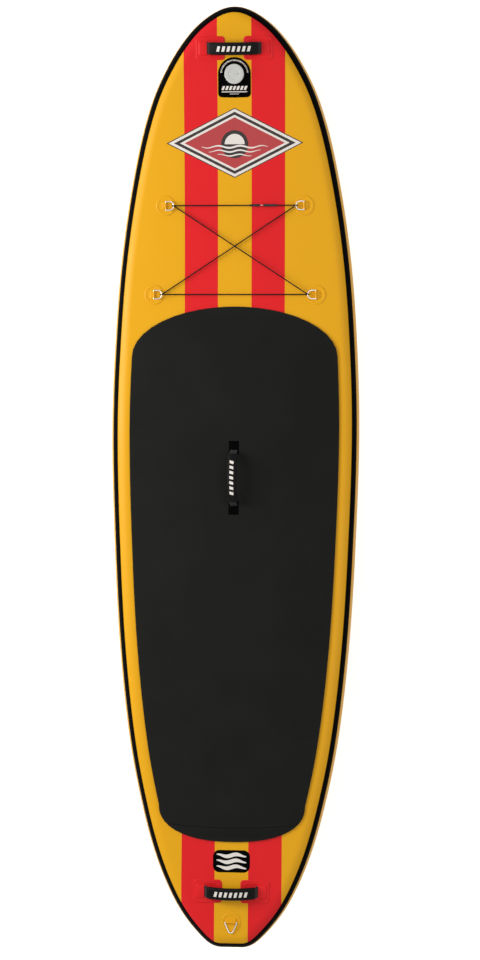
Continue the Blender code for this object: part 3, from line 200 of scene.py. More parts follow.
# Depth, root chord, tip chord, rake and thickness of each fin's blade
CENTRE_BLADE = (0.190, 0.172, 0.062, 0.085, FIN_BASE_THICKNESS * 0.96)
SIDE_BLADE = (0.090, 0.105, 0.045, 0.045, 0.0064)
SIDE_FIN_X, SIDE_FIN_Y = 0.150, -1.120
SIDE_BASE_LENGTH, SIDE_BASE_WIDTH, SIDE_BASE = 0.130, 0.040, 0.003
SIDE_BASE_CORNER = 0.012
FOIL_TIP_ROUNDING, FOIL_SWEEP, FOIL_THINNING = 0.55, 0.45, 0.65
FOIL_TIP_START, FOIL_TIP = 0.90, 0.10  # shares of the depth: where the tip's rounding starts, its length
FOIL_STEPS, FOIL_SIDE = 32, 18  # faces along the depth, and along each side of a section

# Drop-stitch core
CORE_INSET = 0.003  # from the flat's edge to the sheets
CORE_REACH_Y = 1.5
YARN = 0.003
YARN_CLEARANCE = 0.012  # from the flat's edge, and from the valve's nut

# Prints, from the deck up
PRINT = 0.00012
PRINT_GAP = 0.0002
PRINT_STEP = 0.00014  # from one print to the next on top of it
FLAT = 1e-5  # least half height of a print, so that none ends in a point
BADGE_Y = 1.145
BADGE_LAYERS = (
    ("dark_ink", 0.0), ("pale_ink", 0.0030), ("dark_ink", 0.0115), ("pale_ink", 0.0205),
    ("brick_ink", 0.0275))
BADGE_DISC_DROP, BADGE_DISC_RADIUS, BADGE_SUN_RADIUS = 0.004, 0.046, 0.034
# Distance from the badge's middle, half width, swell, crests and thickness of each wave
BADGE_WAVES = (
    (-0.0125, 0.112, 0.0035, 3.0, 0.0065), (-0.0265, 0.088, 0.0032, 2.5, 0.0055),
    (-0.0400, 0.058, 0.0028, 1.75, 0.0045))
TILE_Y = -1.295
TILE_CORNER = 0.022
TILE_WAVE_DROPS = (0.0200, 0.0, -0.0200)
TILE_WAVE_SHARE, TILE_WAVE_SWELL, TILE_WAVE_CRESTS, TILE_WAVE = 0.80, 0.0036, 1.5, 0.0135

# Studio
FLOOR_TOUCH_Y = 0.930
FLOOR_FIN_Y, FLOOR_FIN_Z = -1.3814, -0.1990
FLOOR_HALF = 9.0
FLOOR_CLEARANCE = 0.003
FLOOR_LIFT = 0.62  # share of white added to what is seen of the floor
# Place, aim, width and height of each lamp, and its share of the key's power
KEY_LAMP = ((-3.4, 0.8, 2.3), (0.0, 0.1, 0.1), 1.2, 2.6, 1.0)
FILL_LAMP = ((2.6, -0.3, 4.2), (0.0, 0.1, 0.1), 3.0, 3.0, 0.30)
CAMERA_PLACE = (0.3386, 0.0075, 5.6346)
CAMERA_TURN = (-0.0002, 0.0578, 0.0055)
CAMERA_LENS, CAMERA_SENSOR = 60.3075, 36.0


# Sizes and colours a user would change

def colour_property(name, description, default):
    return bpy.props.FloatVectorProperty(
        name=name, description=description, subtype="COLOR", size=3, min=0.0, max=1.0, default=default)


def length_property(name, description, default):
    return bpy.props.FloatProperty(
        name=name, description=description, default=default, min=0.0, unit="LENGTH")


class BoardColours(bpy.types.PropertyGroup):
    """Colours of the board's finishes."""

    yellow: colour_property("Yellow", "Coated fabric of the hull", (0.86, 0.415, 0.007))
    red: colour_property("Red", "Stripes and end patches", (0.80, 0.014, 0.018))
    black: colour_property("Black", "Rail stripe and black patches", (0.002, 0.002, 0.002))
    foam: colour_property("Foam", "Deck pad", (0.0085, 0.0090, 0.0075))
    grip: colour_property("Grip", "Soft sleeves of the handles", (0.004, 0.004, 0.004))
    webbing: colour_property("Webbing", "Handle straps", (0.007, 0.007, 0.008))
    cord: colour_property("Cord", "Elastic cargo cord", (0.004, 0.004, 0.004))
    plastic: colour_property("Valve plastic", "Valve body and cap", (0.60, 0.60, 0.57))
    moulding: colour_property("Moulding", "Fins and fin box", (0.014, 0.014, 0.015))
    ink_dark: colour_property("Dark ink", "Outlines of the badge", (0.045, 0.038, 0.036))
    ink_pale: colour_property("Pale ink", "Light bands of the badge", (0.86, 0.80, 0.74))
    ink_brick: colour_property("Brick ink", "Field of the badge", (0.50, 0.065, 0.068))


class BoardSizes(bpy.types.PropertyGroup):
    """Sizes of the board's printed marks and small repeats."""

    stripe_inner: length_property("Stripe, inner edge", "Centre line to the stripe's inner edge", 0.0573)
    stripe_outer: length_property("Stripe, outer edge", "Centre line to the stripe's outer edge", 0.1710)
    badge_width: length_property("Badge width", "Badge on the nose, across the board", 0.464)
    badge_height: length_property("Badge height", "Badge on the nose, along the board", 0.230)
    tile_width: length_property("Tile width", "Dark tile near the tail, across the board", 0.126)
    tile_height: length_property("Tile height", "Dark tile near the tail, along the board", 0.075)
    stitch_pitch: length_property("Stitch pitch", "From one stitch to the next", 0.004)
    yarn_pitch: length_property("Yarn pitch", "From one yarn of the core to the next", 0.030)


class StudioSettings(bpy.types.PropertyGroup):
    """The studio round the board."""

    floor: colour_property("Floor", "Colour of the floor", (0.93, 0.93, 0.93))
    key_power: bpy.props.FloatProperty(
        name="Key power", description="Power of the soft lamp on the left", default=125.0, min=0.0,
        unit="POWER")
    world_level: bpy.props.FloatProperty(
        name="World level", description="Strength of the light from all round", default=0.44, min=0.0)


def colour(name):
    """A colour of the panel with its alpha, as a tuple."""
    return (*getattr(bpy.context.scene.board_colours, name), 1.0)


def size(name):
    return getattr(bpy.context.scene.board_sizes, name)


# The hull's surface

def rocker(y):
    """Height of the bottom above its flat middle, for a number or an array."""
    nose = np.maximum(0.0, y - (LENGTH / 2 - NOSE_RISE_LENGTH)) / NOSE_RISE_LENGTH
    tail = np.maximum(0.0, -y - (LENGTH / 2 - TAIL_RISE_LENGTH)) / TAIL_RISE_LENGTH
    return NOSE_RISE * nose ** NOSE_RISE_POWER + TAIL_RISE * tail ** TAIL_RISE_POWER


def slope(y, step=1e-4):
    """Angle of the rocker at y, nose up."""
    return math.atan(float(rocker(y + step) - rocker(y - step)) / (2 * step))


def plan_share(way):
    """PLAN_SHAPE at a share of the way, on a smooth curve through its points."""
    last = len(PLAN_SHAPE) - 1
    k = min(max(i for i in range(last) if PLAN_SHAPE[i][0] <= way), last - 1)

    def lean(i):
        before, after = PLAN_SHAPE[max(i - 1, 0)], PLAN_SHAPE[min(i + 1, last)]
        return (after[1] - before[1]) / (after[0] - before[0])

    (start, low), (end, high) = PLAN_SHAPE[k], PLAN_SHAPE[k + 1]
    span = end - start
    s = (way - start) / span
    return (
        low * (1 + 2 * s) * (1 - s) ** 2 + high * s * s * (3 - 2 * s)
        + span * s * (1 - s) * (lean(k) * (1 - s) - lean(k + 1) * s))


def plan_point(way):
    return Vector((WIDTH / 2 * plan_share(way), LENGTH / 2 * math.cos(math.pi * way)))


def plan_normal(way, step=2e-3):
    """Outward direction of the outline."""
    if way <= 0.0:
        return Vector((0.0, 1.0))
    if way >= 1.0:
        return Vector((0.0, -1.0))
    along = plan_point(min(way + step, 1.0)) - plan_point(max(way - step, 0.0))
    return Vector((-along.y, along.x)).normalized()


def outline():
    """Points of the outline with their outward normals, once round from the nose tip by the right side."""
    right = [(plan_point(i / STATIONS), plan_normal(i / STATIONS)) for i in range(STATIONS + 1)]
    left = [(Vector((-p.x, p.y)), Vector((-n.x, n.y))) for p, n in reversed(right[1:])]
    return right + [(Vector((0.0, -LENGTH / 2)), Vector((0.0, -1.0)))] + left


OUTLINE = outline()
EDGE = np.array([plan_point(i / 400) for i in range(401)] + [(0.0, -LENGTH / 2)])


def hull_point(station, angle, depth=0.0):
    """A point of the hull: angle 90 is the deck's flat edge, 0 the middle of the rail, -90 the bottom's."""
    point, normal = OUTLINE[station]
    turn = math.radians(angle)
    flat = point - normal * (RAIL_DEPTH - (RAIL_DEPTH - depth) * math.cos(turn))
    height = THICKNESS / 2 + (THICKNESS / 2 - depth) * math.sin(turn)
    return Vector((flat.x, flat.y, height + float(rocker(flat.y))))


def deck_heights(x, y):
    """Heights of the deck at arrays of places."""
    places = np.stack([np.abs(x).ravel(), np.asarray(y).ravel()], axis=1)
    start, along = EDGE[:-1], EDGE[1:] - EDGE[:-1]
    away = places[:, None, :] - start
    share = np.clip((away * along).sum(2) / (along ** 2).sum(1), 0.0, 1.0)
    inset = np.linalg.norm(away - share[:, :, None] * along, axis=2).min(1)
    roll = 1.0 - np.minimum(inset / RAIL_DEPTH, 1.0)
    height = THICKNESS / 2 * (1.0 + np.sqrt(1.0 - roll ** 2)) + rocker(places[:, 1])
    return height.reshape(np.shape(x))


def board_half(y):
    """Half width of the board at y."""
    return WIDTH / 2 * plan_share(math.acos(max(-1.0, min(1.0, 2 * y / LENGTH))) / math.pi)


def frame_at(x, y, below=False, turn=0.0):
    """Place on the deck's flat, or on the bottom's, with Z square to it and turned about Z."""
    height = float(rocker(y)) + (0.0 if below else THICKNESS)
    tilt = Matrix.Rotation(slope(y), 4, "X")
    return Matrix.Translation((x, y, height)) @ tilt @ Matrix.Rotation(math.radians(turn), 4, "Z")


def raised(place, height):
    """A place moved along its own Z."""
    return place @ Matrix.Translation((0.0, 0.0, height))


# Meshes, made in place, so that every object stays at the origin

def new_object(name, shape, materials, sharp=40.0, merge=1e-6, turn_out=True):
    """An object from a bmesh: doubles merged, faces outward, smooth but for its sharp edges."""
    if merge:
        bmesh.ops.remove_doubles(shape, verts=shape.verts, dist=merge)
    if turn_out:
        bmesh.ops.recalc_face_normals(shape, faces=shape.faces)
    data = bpy.data.meshes.new(name)
    shape.to_mesh(data)
    shape.free()
    for material in materials if isinstance(materials, (list, tuple)) else [materials]:
        data.materials.append(material)
    data.shade_smooth()
    data.set_sharp_from_angle(angle=math.radians(sharp))
    obj = bpy.data.objects.new(name, data)
    bpy.context.scene.collection.objects.link(obj)
    return obj


def settle(obj):
    """The object with its modifiers applied, as a plain mesh."""
    graph = bpy.context.evaluated_depsgraph_get()
    data = bpy.data.meshes.new_from_object(obj.evaluated_get(graph))
    old = obj.data
    obj.modifiers.clear()
    obj.data = data
    data.name = obj.name
    data.shade_smooth()
    data.set_sharp_from_angle(angle=math.radians(35.0))
    bpy.data.meshes.remove(old)
    return obj


def bevel(obj, width, segments=2, angle=40.0):
    modifier = obj.modifiers.new("edges", "BEVEL")
    modifier.width = width
    modifier.segments = segments
    modifier.limit_method = "ANGLE"
    modifier.angle_limit = math.radians(angle)
    return settle(obj)


def cut(obj, cutter):
    """Takes the cutter's shape out of the object, and removes the cutter."""
    modifier = obj.modifiers.new("cut", "BOOLEAN")
    modifier.object = cutter
    modifier.solver = "EXACT"
    settle(obj)
    bpy.data.objects.remove(cutter, do_unlink=True)
    return obj


def dress(obj, body, slot, *nodes):
    """Puts a finished piece on its body, in the place of its solids."""
    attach(obj, body)
    if nodes:
        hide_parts(*nodes)
    return obj


def sweep(shape, rings, closed=False, caps=True):
    """Skins closed rings of points, with UVs in metres: U along the sweep, V round it."""
    layer = shape.loops.layers.uv.verify()
    rows = [[shape.verts.new(point) for point in ring] for ring in rings]
    count = len(rows[0])
    centres = [sum((v.co for v in row), Vector()) / count for row in rows]
    along = [0.0]
    for before, after in zip(centres, centres[1:] + centres[:1]):
        along.append(along[-1] + (after - before).length)
    around = [0.0]
    for i in range(count):
        around.append(around[-1] + (rows[0][(i + 1) % count].co - rows[0][i].co).length)
    spans = len(rows) if closed else len(rows) - 1
    for k in range(spans):
        row, after = rows[k], rows[(k + 1) % len(rows)]
        for i in range(count):
            j = (i + 1) % count
            face = shape.faces.new((row[i], row[j], after[j], after[i]))
            for loop, u, v in zip(face.loops, (k, k, k + 1, k + 1), (i, i + 1, i + 1, i)):
                loop[layer].uv = (along[u], around[v])
    if caps and not closed:
        for row in (rows[0], rows[-1]):
            face = shape.faces.new(row)
            for loop, vertex in zip(face.loops, row):
                offset = vertex.co - centres[0 if row is rows[0] else -1]
                loop[layer].uv = (offset.x, offset.y + offset.z)
    return rows


def tube_rings(points, radius, sides, closed=False):
    """Round rings along a line of points, carried on without twist."""
    points = [Vector(p) for p in points]
    last = len(points) - 1
    tangents = []
    for i in range(len(points)):
        before = points[i - 1] if closed or i else points[0]
        after = points[(i + 1) % len(points)] if closed or i < last else points[last]
        tangents.append((after - before).normalized())
    up = tangents[0].orthogonal().normalized()
    rings = []
    for point, tangent in zip(points, tangents):
        up = (up - tangent * up.dot(tangent)).normalized()
        side = tangent.cross(up)
        turns = [2 * math.pi * k / sides for k in range(sides)]
        rings.append([point + (up * math.cos(t) + side * math.sin(t)) * radius for t in turns])
    return rings


def tube(name, points, diameter, material, sides=12, closed=False):
    shape = bmesh.new()
    sweep(shape, tube_rings(points, diameter / 2, sides, closed), closed)
    return new_object(name, shape, material, sharp=60.0)


def lathe(shape, profile, sides, place):
    """Turns (radius, height) points round Z. A profile that starts off the axis is a closed loop."""
    rings = []
    for k in range(sides):
        turn = 2 * math.pi * k / sides
        rings.append([place @ Vector((r * math.cos(turn), r * math.sin(turn), z)) for r, z in profile])
    rows = [[shape.verts.new(point) for point in ring] for ring in rings]
    count = len(profile)
    spans = count - 1 if profile[0][0] == 0.0 else count
    for k in range(sides):
        row, after = rows[k], rows[(k + 1) % sides]
        for i in range(spans):
            j = (i + 1) % count
            corners = [row[i], row[j], after[j], after[i]]
            if profile[i][0] == 0.0:
                corners.remove(after[i])
            if profile[j][0] == 0.0:
                corners.remove(after[j])
            if len(corners) > 2:
                shape.faces.new(corners)


def turned(name, profile, sides, place, material):
    shape = bmesh.new()
    lathe(shape, profile, sides, place)
    return new_object(name, shape, material)


def round_corner(profile, index, radius, steps=3):
    """The profile with one of its corners rounded."""
    before, corner, after = (Vector(profile[i % len(profile)]) for i in (index - 1, index, index + 1))
    start = corner + (before - corner).normalized() * radius
    end = corner + (after - corner).normalized() * radius
    bend = []
    for i in range(steps + 1):
        s = i / steps
        bend.append(tuple(start * (1 - s) ** 2 + corner * 2 * s * (1 - s) + end * s * s))
    return profile[:index] + bend + profile[index + 1:]


def grid_solid(top, low, wrap=False):
    """A bmesh between two grids of points. A wrapped grid is a disc: its first row is its middle."""
    shape = bmesh.new()
    sheets = [[[shape.verts.new(point) for point in row] for row in grid] for grid in (top, low)]
    rows, columns = len(top), len(top[0])
    spans = columns if wrap else columns - 1
    for sheet in sheets:
        for r in range(rows - 1):
            for c in range(spans):
                d = (c + 1) % columns
                shape.faces.new((sheet[r][c], sheet[r][d], sheet[r + 1][d], sheet[r + 1][c]))
    upper, lower = sheets
    border = [(rows - 1, c, rows - 1, (c + 1) % columns) for c in range(spans)]
    if not wrap:
        border += [(0, c, 0, c + 1) for c in range(spans)]
        border += [(r, c, r + 1, c) for r in range(rows - 1) for c in (0, columns - 1)]
    for r, c, s, d in border:
        shape.faces.new((upper[r][c], upper[s][d], lower[s][d], lower[r][c]))
    return shape


# Node trees

def add_node(tree, kind, inputs=None, **settings):
    """A node with its settings. Inputs are set by name or number, or linked where a socket is given."""
    node = tree.nodes.new(kind)
    for key, value in settings.items():
        setattr(node, key, value)
    for key, value in (inputs or {}).items():
        if isinstance(value, bpy.types.NodeSocket):
            tree.links.new(value, node.inputs[key])
        else:
            node.inputs[key].default_value = value
    return node


def maths(tree, operation, *values, clamp=False):
    inputs = dict(enumerate(values))
    return add_node(tree, "ShaderNodeMath", inputs, operation=operation, use_clamp=clamp).outputs[0]


def spread(tree, value, low, high, from_low=0.0, from_high=1.0):
    """A value taken from one range to another, and held inside it."""
    inputs = {"Value": value, "From Min": from_low, "From Max": from_high, "To Min": low, "To Max": high}
    return add_node(tree, "ShaderNodeMapRange", inputs).outputs[0]


def mix_colour(tree, share, a, b, blend="MIX"):
    inputs = {0: share, 6: a, 7: b}
    return add_node(tree, "ShaderNodeMix", inputs, data_type="RGBA", blend_type=blend).outputs[2]


def noise(tree, vector, scale, detail=2.0, roughness=0.5):
    inputs = {"Vector": vector, "Scale": scale, "Detail": detail, "Roughness": roughness}
    return add_node(tree, "ShaderNodeTexNoise", inputs).outputs["Fac"]


def stretch(tree, vector, scale):
    """The vector with its axes scaled, which draws a pattern out."""
    return add_node(tree, "ShaderNodeMapping", {"Vector": vector, "Scale": scale}).outputs[0]


def new_group(name, kind, inputs, outputs):
    """A node group with its named sockets, its input node and its output node."""
    tree = bpy.data.node_groups.new(name, kind)
    for label, socket, value in inputs:
        made = tree.interface.new_socket(label, in_out="INPUT", socket_type=socket)
        if value is not None:
            made.default_value = value
    for label, socket in outputs:
        tree.interface.new_socket(label, in_out="OUTPUT", socket_type=socket)
    return tree, tree.nodes.new("NodeGroupInput"), tree.nodes.new("NodeGroupOutput")


def coated_cloth():
    """Coated fabric: a faint textile print, fine peel, broad mottling of the colour and of the gloss."""
    tree, given, out = new_group("coated_cloth", "ShaderNodeTree", [
        ("Vector", "NodeSocketVector", None), ("Pitch", "NodeSocketFloat", 0.0011),
        ("Mottling", "NodeSocketFloat", 0.06)], [
        ("Height", "NodeSocketFloat"), ("Tone", "NodeSocketFloat"), ("Gloss", "NodeSocketFloat")])
    vector = given.outputs["Vector"]
    axes = add_node(tree, "ShaderNodeSeparateXYZ", {0: vector})
    rate = maths(tree, "DIVIDE", 2 * math.pi, given.outputs["Pitch"])
    warp = maths(tree, "SINE", maths(tree, "MULTIPLY", axes.outputs["X"], rate))
    weft = maths(tree, "SINE", maths(tree, "MULTIPLY", axes.outputs["Y"], rate))
    textile = maths(tree, "MULTIPLY", maths(tree, "MULTIPLY", warp, weft), 0.22)
    height = maths(tree, "ADD", textile, noise(tree, vector, 330.0, 3.0))
    broad = maths(tree, "SUBTRACT", noise(tree, vector, 2.4, 3.0), 0.5)
    speck = maths(tree, "MULTIPLY", maths(tree, "SUBTRACT", noise(tree, vector, 700.0, 1.0), 0.5), 0.35)
    shade = maths(tree, "MULTIPLY", maths(tree, "ADD", broad, speck), given.outputs["Mottling"])
    tree.links.new(height, out.inputs["Height"])
    tree.links.new(maths(tree, "ADD", shade, 1.0), out.inputs["Tone"])
    tree.links.new(noise(tree, stretch(tree, vector, (9.0, 4.0, 9.0)), 1.0, 4.0), out.inputs["Gloss"])
    return tree


def woven_strap():
    """Flat woven webbing along the piece's UV map: raised ribs across, a herringbone between them. Its tone
    is painted shade and highlight: darker in the grooves, lighter on the ribs.
    """
    tree, given, out = new_group("woven_strap", "ShaderNodeTree", [
        ("Vector", "NodeSocketVector", None), ("Pitch", "NodeSocketFloat", 0.0016),
        ("Slant", "NodeSocketFloat", 0.6)], [
        ("Height", "NodeSocketFloat"), ("Tone", "NodeSocketFloat")])
    axes = add_node(tree, "ShaderNodeSeparateXYZ", {0: given.outputs["Vector"]})
    rate = maths(tree, "DIVIDE", 2 * math.pi, given.outputs["Pitch"])
    lean = maths(tree, "MULTIPLY", axes.outputs["Y"], given.outputs["Slant"])
    along = maths(tree, "MULTIPLY", maths(tree, "ADD", axes.outputs["X"], lean), rate)
    back = maths(tree, "MULTIPLY", maths(tree, "SUBTRACT", axes.outputs["X"], lean), rate)
    rib = maths(tree, "MULTIPLY", maths(tree, "SINE", along), maths(tree, "SINE", back))
    fuzz = maths(tree, "MULTIPLY", noise(tree, given.outputs["Vector"], 900.0), 0.5)
    tree.links.new(maths(tree, "ADD", rib, fuzz), out.inputs["Height"])
    # Painted shade and highlight: the colour follows the ribs' height, darker in the grooves between them and
    # lighter on their tops.
    tree.links.new(spread(tree, rib, 0.7, 1.25, -1.0, 1.0), out.inputs["Tone"])
    return tree


def fine_grain():
    """Grain of a given size, with slow drifts of tone and light scuffs."""
    tree, given, out = new_group("fine_grain", "ShaderNodeTree", [
        ("Vector", "NodeSocketVector", None), ("Scale", "NodeSocketFloat", 600.0),
        ("Scuffs", "NodeSocketFloat", 0.2)], [
        ("Height", "NodeSocketFloat"), ("Tone", "NodeSocketFloat"), ("Gloss", "NodeSocketFloat")])
    vector = given.outputs["Vector"]
    grain = noise(tree, vector, given.outputs["Scale"], 3.0, 0.6)
    drift = noise(tree, vector, 6.0, 3.0)
    worn = spread(tree, noise(tree, vector, 45.0, 5.0, 0.7), 0.0, 1.0, 0.55, 0.75)
    scuff = maths(tree, "MULTIPLY", worn, given.outputs["Scuffs"])
    tone = maths(tree, "ADD", spread(tree, drift, 0.86, 1.14, 0.3, 0.7), scuff)
    speck = maths(tree, "MULTIPLY", maths(tree, "SUBTRACT", grain, 0.5), 0.5)
    tree.links.new(grain, out.inputs["Height"])
    tree.links.new(maths(tree, "ADD", tone, speck), out.inputs["Tone"])
    tree.links.new(scuff, out.inputs["Gloss"])
    return tree


GROUPS = {"coated_cloth": coated_cloth, "woven_strap": woven_strap, "fine_grain": fine_grain}


def group_node(tree, name, vector, **values):
    """One of the groups above, placed in a material with its own values."""
    shared = bpy.data.node_groups.get(name) or GROUPS[name]()
    return add_node(tree, "ShaderNodeGroup", {"Vector": vector, **values}, node_tree=shared)


# Materials

def new_material(name, metallic=0.0, specular=0.5, sheen=0.0):
    """A material's tree and shader, with the values that are the same all over it."""
    material = bpy.data.materials.new(name)
    material.use_nodes = True
    tree = material.node_tree
    shader = tree.nodes["Principled BSDF"]
    plain = {"Metallic": metallic, "Specular IOR Level": specular, "Sheen Weight": sheen}
    for key, value in plain.items():
        shader.inputs[key].default_value = value
    coords = add_node(tree, "ShaderNodeTexCoord")
    return material, tree, shader, coords


def connect(tree, shader, base, tone, roughness, height, depth):
    """Links the shaded colour, the roughness and the bump, whose depth is in metres."""
    tree.links.new(mix_colour(tree, 1.0, base, tone, "MULTIPLY"), shader.inputs["Base Color"])
    if isinstance(roughness, bpy.types.NodeSocket):
        tree.links.new(roughness, shader.inputs["Roughness"])
    else:
        shader.inputs["Roughness"].default_value = roughness
    bump = add_node(tree, "ShaderNodeBump", {"Strength": 1.0, "Distance": depth, "Height": height})
    tree.links.new(bump.outputs[0], shader.inputs["Normal"])


def coated(name, base, gloss=0.40, mottling=0.06, depth=0.00003, specular=0.2):
    """Coated fabric in one colour, or an ink printed on it."""
    material, tree, shader, coords = new_material(name, specular=specular)
    cloth = group_node(tree, "coated_cloth", coords.outputs["Object"], Mottling=mottling)
    roughness = spread(tree, cloth.outputs["Gloss"], gloss - 0.06, gloss + 0.08, 0.3, 0.7)
    connect(tree, shader, base, cloth.outputs["Tone"], roughness, cloth.outputs["Height"], depth)
    return material


def printed_deck(name):
    """The deck's coated fabric: two red stripes along the whole board on yellow."""
    material, tree, shader, coords = new_material(name, specular=0.2)
    cloth = group_node(tree, "coated_cloth", coords.outputs["Object"], Mottling=0.08)
    axes = add_node(tree, "ShaderNodeSeparateXYZ", {0: coords.outputs["Object"]})
    across = maths(tree, "ABSOLUTE", axes.outputs["X"])
    soft = 0.0003
    inner, outer = size("stripe_inner"), size("stripe_outer")
    inside = spread(tree, across, 0.0, 1.0, inner - soft, inner + soft)
    outside = spread(tree, across, 1.0, 0.0, outer - soft, outer + soft)
    base = mix_colour(tree, maths(tree, "MULTIPLY", inside, outside), colour("yellow"), colour("red"))
    rows = maths(tree, "SINE", maths(tree, "MULTIPLY", axes.outputs["X"], 2 * math.pi / 0.006))
    drawn = stretch(tree, coords.outputs["Object"], (7.0, 3.0, 3.0))
    slow = maths(tree, "MULTIPLY", noise(tree, drawn, 1.0), 8.0)
    height = maths(tree, "ADD", cloth.outputs["Height"], maths(tree, "MULTIPLY", rows, 0.25))
    height = maths(tree, "ADD", height, slow)
    roughness = spread(tree, cloth.outputs["Gloss"], 0.36, 0.50, 0.3, 0.7)
    connect(tree, shader, base, cloth.outputs["Tone"], roughness, height, 0.00003)
    return material


def brushed_foam(name):
    """The pad's foam: fine cells, faint brushed lines across the board, and slow drifts of tone."""
    material, tree, shader, coords = new_material(name, specular=0.12, sheen=0.02)
    vector = coords.outputs["Object"]
    grain = group_node(tree, "fine_grain", vector, Scale=900.0, Scuffs=0.10)
    lines = noise(tree, stretch(tree, vector, (3.0, 150.0, 3.0)), 1.0, 5.0, 0.65)
    threads = noise(tree, stretch(tree, vector, (12.0, 900.0, 12.0)), 1.0, 2.0)
    tone = maths(tree, "MULTIPLY", grain.outputs["Tone"], spread(tree, lines, 0.80, 1.30, 0.3, 0.7))
    brushed = maths(tree, "ADD", maths(tree, "MULTIPLY", lines, 2.0), threads)
    height = maths(tree, "ADD", grain.outputs["Height"], brushed)
    roughness = spread(tree, lines, 0.72, 0.92, 0.3, 0.7)
    connect(tree, shader, colour("foam"), tone, roughness, height, 0.00006)
    return material


def grained(name, base, roughness, scale=700.0, scuffs=0.15, depth=0.00002, contrast=1.0, **plain):
    """Moulded plastic, foam rubber or metal, with grain and light scuffs."""
    material, tree, shader, coords = new_material(name, **plain)
    grain = group_node(tree, "fine_grain", coords.outputs["Object"], Scale=scale, Scuffs=scuffs)
    rough = maths(tree, "ADD", roughness, maths(tree, "MULTIPLY", grain.outputs["Gloss"], 0.5), clamp=True)
    tone = maths(tree, "ADD", maths(tree, "MULTIPLY", grain.outputs["Tone"], contrast), 1.0 - contrast)
    connect(tree, shader, base, tone, rough, grain.outputs["Height"], depth)
    return material


def woven(name, base, pitch, slant, roughness=0.8, depth=0.00012):
    """Webbing, or braid round a cord, along the piece's UV map, with the weave's painted shade and highlight
    in its colour.
    """
    material, tree, shader, coords = new_material(name, specular=0.15, sheen=0.05)
    strap = group_node(tree, "woven_strap", coords.outputs["UV"], Pitch=pitch, Slant=slant)
    connect(tree, shader, base, strap.outputs["Tone"], roughness, strap.outputs["Height"], depth)
    return material


MAKERS = {
    "printed_deck": printed_deck,
    "coated_yellow": lambda name: coated(name, colour("yellow")),
    "coated_red": lambda name: coated(name, colour("red")),
    "coated_black": lambda name: coated(name, colour("black"), 0.38, 0.3, specular=0.008),
    "brushed_foam": brushed_foam,
    "webbing": lambda name: woven(name, colour("webbing"), 0.0018, 0.6),
    "thread": lambda name: woven(name, colour("ink_dark"), 0.0008, 1.0, 0.6, 0.00003),
    "cord_braid": lambda name: woven(name, colour("cord"), 0.0024, 1.0, 0.75, 0.00015),
    "grip_sleeve": lambda name: grained(
        name, colour("grip"), 0.5, scale=1400.0, scuffs=0.1, depth=0.00004, specular=0.08, sheen=0.01),
    "ring_steel": lambda name: grained(
        name, (0.66, 0.66, 0.65, 1.0), 0.2, scale=1200.0, scuffs=0.1, depth=0.000005, metallic=1.0),
    "valve_shell": lambda name: grained(
        name, colour("plastic"), 0.40, scale=600.0, scuffs=0.10, contrast=0.25),
    "black_moulding": lambda name: grained(
        name, colour("moulding"), 0.38, scale=800.0, scuffs=0.12, specular=0.35),
    "seal_rubber": lambda name: grained(name, (0.02, 0.02, 0.02, 1.0), 0.7, scale=900.0),
    "core_textile": lambda name: grained(
        name, (0.74, 0.73, 0.68, 1.0), 0.85, scale=1500.0, depth=0.0001, sheen=0.3),
    "dark_ink": lambda name: coated(name, colour("ink_dark"), 0.36, 0.2, specular=0.2),
    "pale_ink": lambda name: coated(name, colour("ink_pale"), 0.38),
    "brick_ink": lambda name: coated(name, colour("ink_brick"), 0.38),
}


def finish(name):
    """A material by its name, made on its first use."""
    return bpy.data.materials.get(name) or MAKERS[name](name)


# Geometry Nodes for what repeats

def stitch_row():
    """Short threads along a line, each laid along it."""
    tree, given, out = new_group("stitch_row", "GeometryNodeTree", [
        ("Line", "NodeSocketGeometry", None), ("Pitch", "NodeSocketFloat", 0.004),
        ("Thickness", "NodeSocketFloat", 0.0007), ("Material", "NodeSocketMaterial", None)],
        [("Geometry", "NodeSocketGeometry")])
    line = add_node(tree, "GeometryNodeMeshToCurve", {"Mesh": given.outputs["Line"]}).outputs[0]
    spaced = add_node(tree, "GeometryNodeResampleCurve", {"Curve": line, "Length": given.outputs["Pitch"]},
                      mode="LENGTH").outputs[0]
    tangent = add_node(tree, "GeometryNodeInputTangent").outputs[0]
    turn = add_node(tree, "FunctionNodeAlignRotationToVector", {"Vector": tangent}, axis="X").outputs[0]
    thread = add_node(tree, "GeometryNodeMeshIcoSphere", {"Radius": 0.5, "Subdivisions": 1}).outputs[0]
    long = maths(tree, "MULTIPLY", given.outputs["Pitch"], 0.7)
    thick = given.outputs["Thickness"]
    scale = add_node(tree, "ShaderNodeCombineXYZ", {"X": long, "Y": thick, "Z": thick}).outputs[0]
    rows = add_node(tree, "GeometryNodeInstanceOnPoints", {
        "Points": spaced, "Instance": thread, "Rotation": turn, "Scale": scale}).outputs[0]
    end_tree(tree, rows, given, out)
    return tree


def standing_bars():
    """An upright bar on each point of a mesh, as tall as the point's "height" says."""
    tree, given, out = new_group("standing_bars", "GeometryNodeTree", [
        ("Places", "NodeSocketGeometry", None), ("Thickness", "NodeSocketFloat", 0.003),
        ("Material", "NodeSocketMaterial", None)], [("Geometry", "NodeSocketGeometry")])
    bar = add_node(tree, "GeometryNodeMeshCube").outputs[0]
    height = add_node(
        tree, "GeometryNodeInputNamedAttribute", {"Name": "height"}, data_type="FLOAT").outputs[0]
    thick = given.outputs["Thickness"]
    scale = add_node(tree, "ShaderNodeCombineXYZ", {"X": thick, "Y": thick, "Z": height}).outputs[0]
    bars = add_node(tree, "GeometryNodeInstanceOnPoints", {
        "Points": given.outputs["Places"], "Instance": bar, "Scale": scale}).outputs[0]
    end_tree(tree, bars, given, out)
    return tree


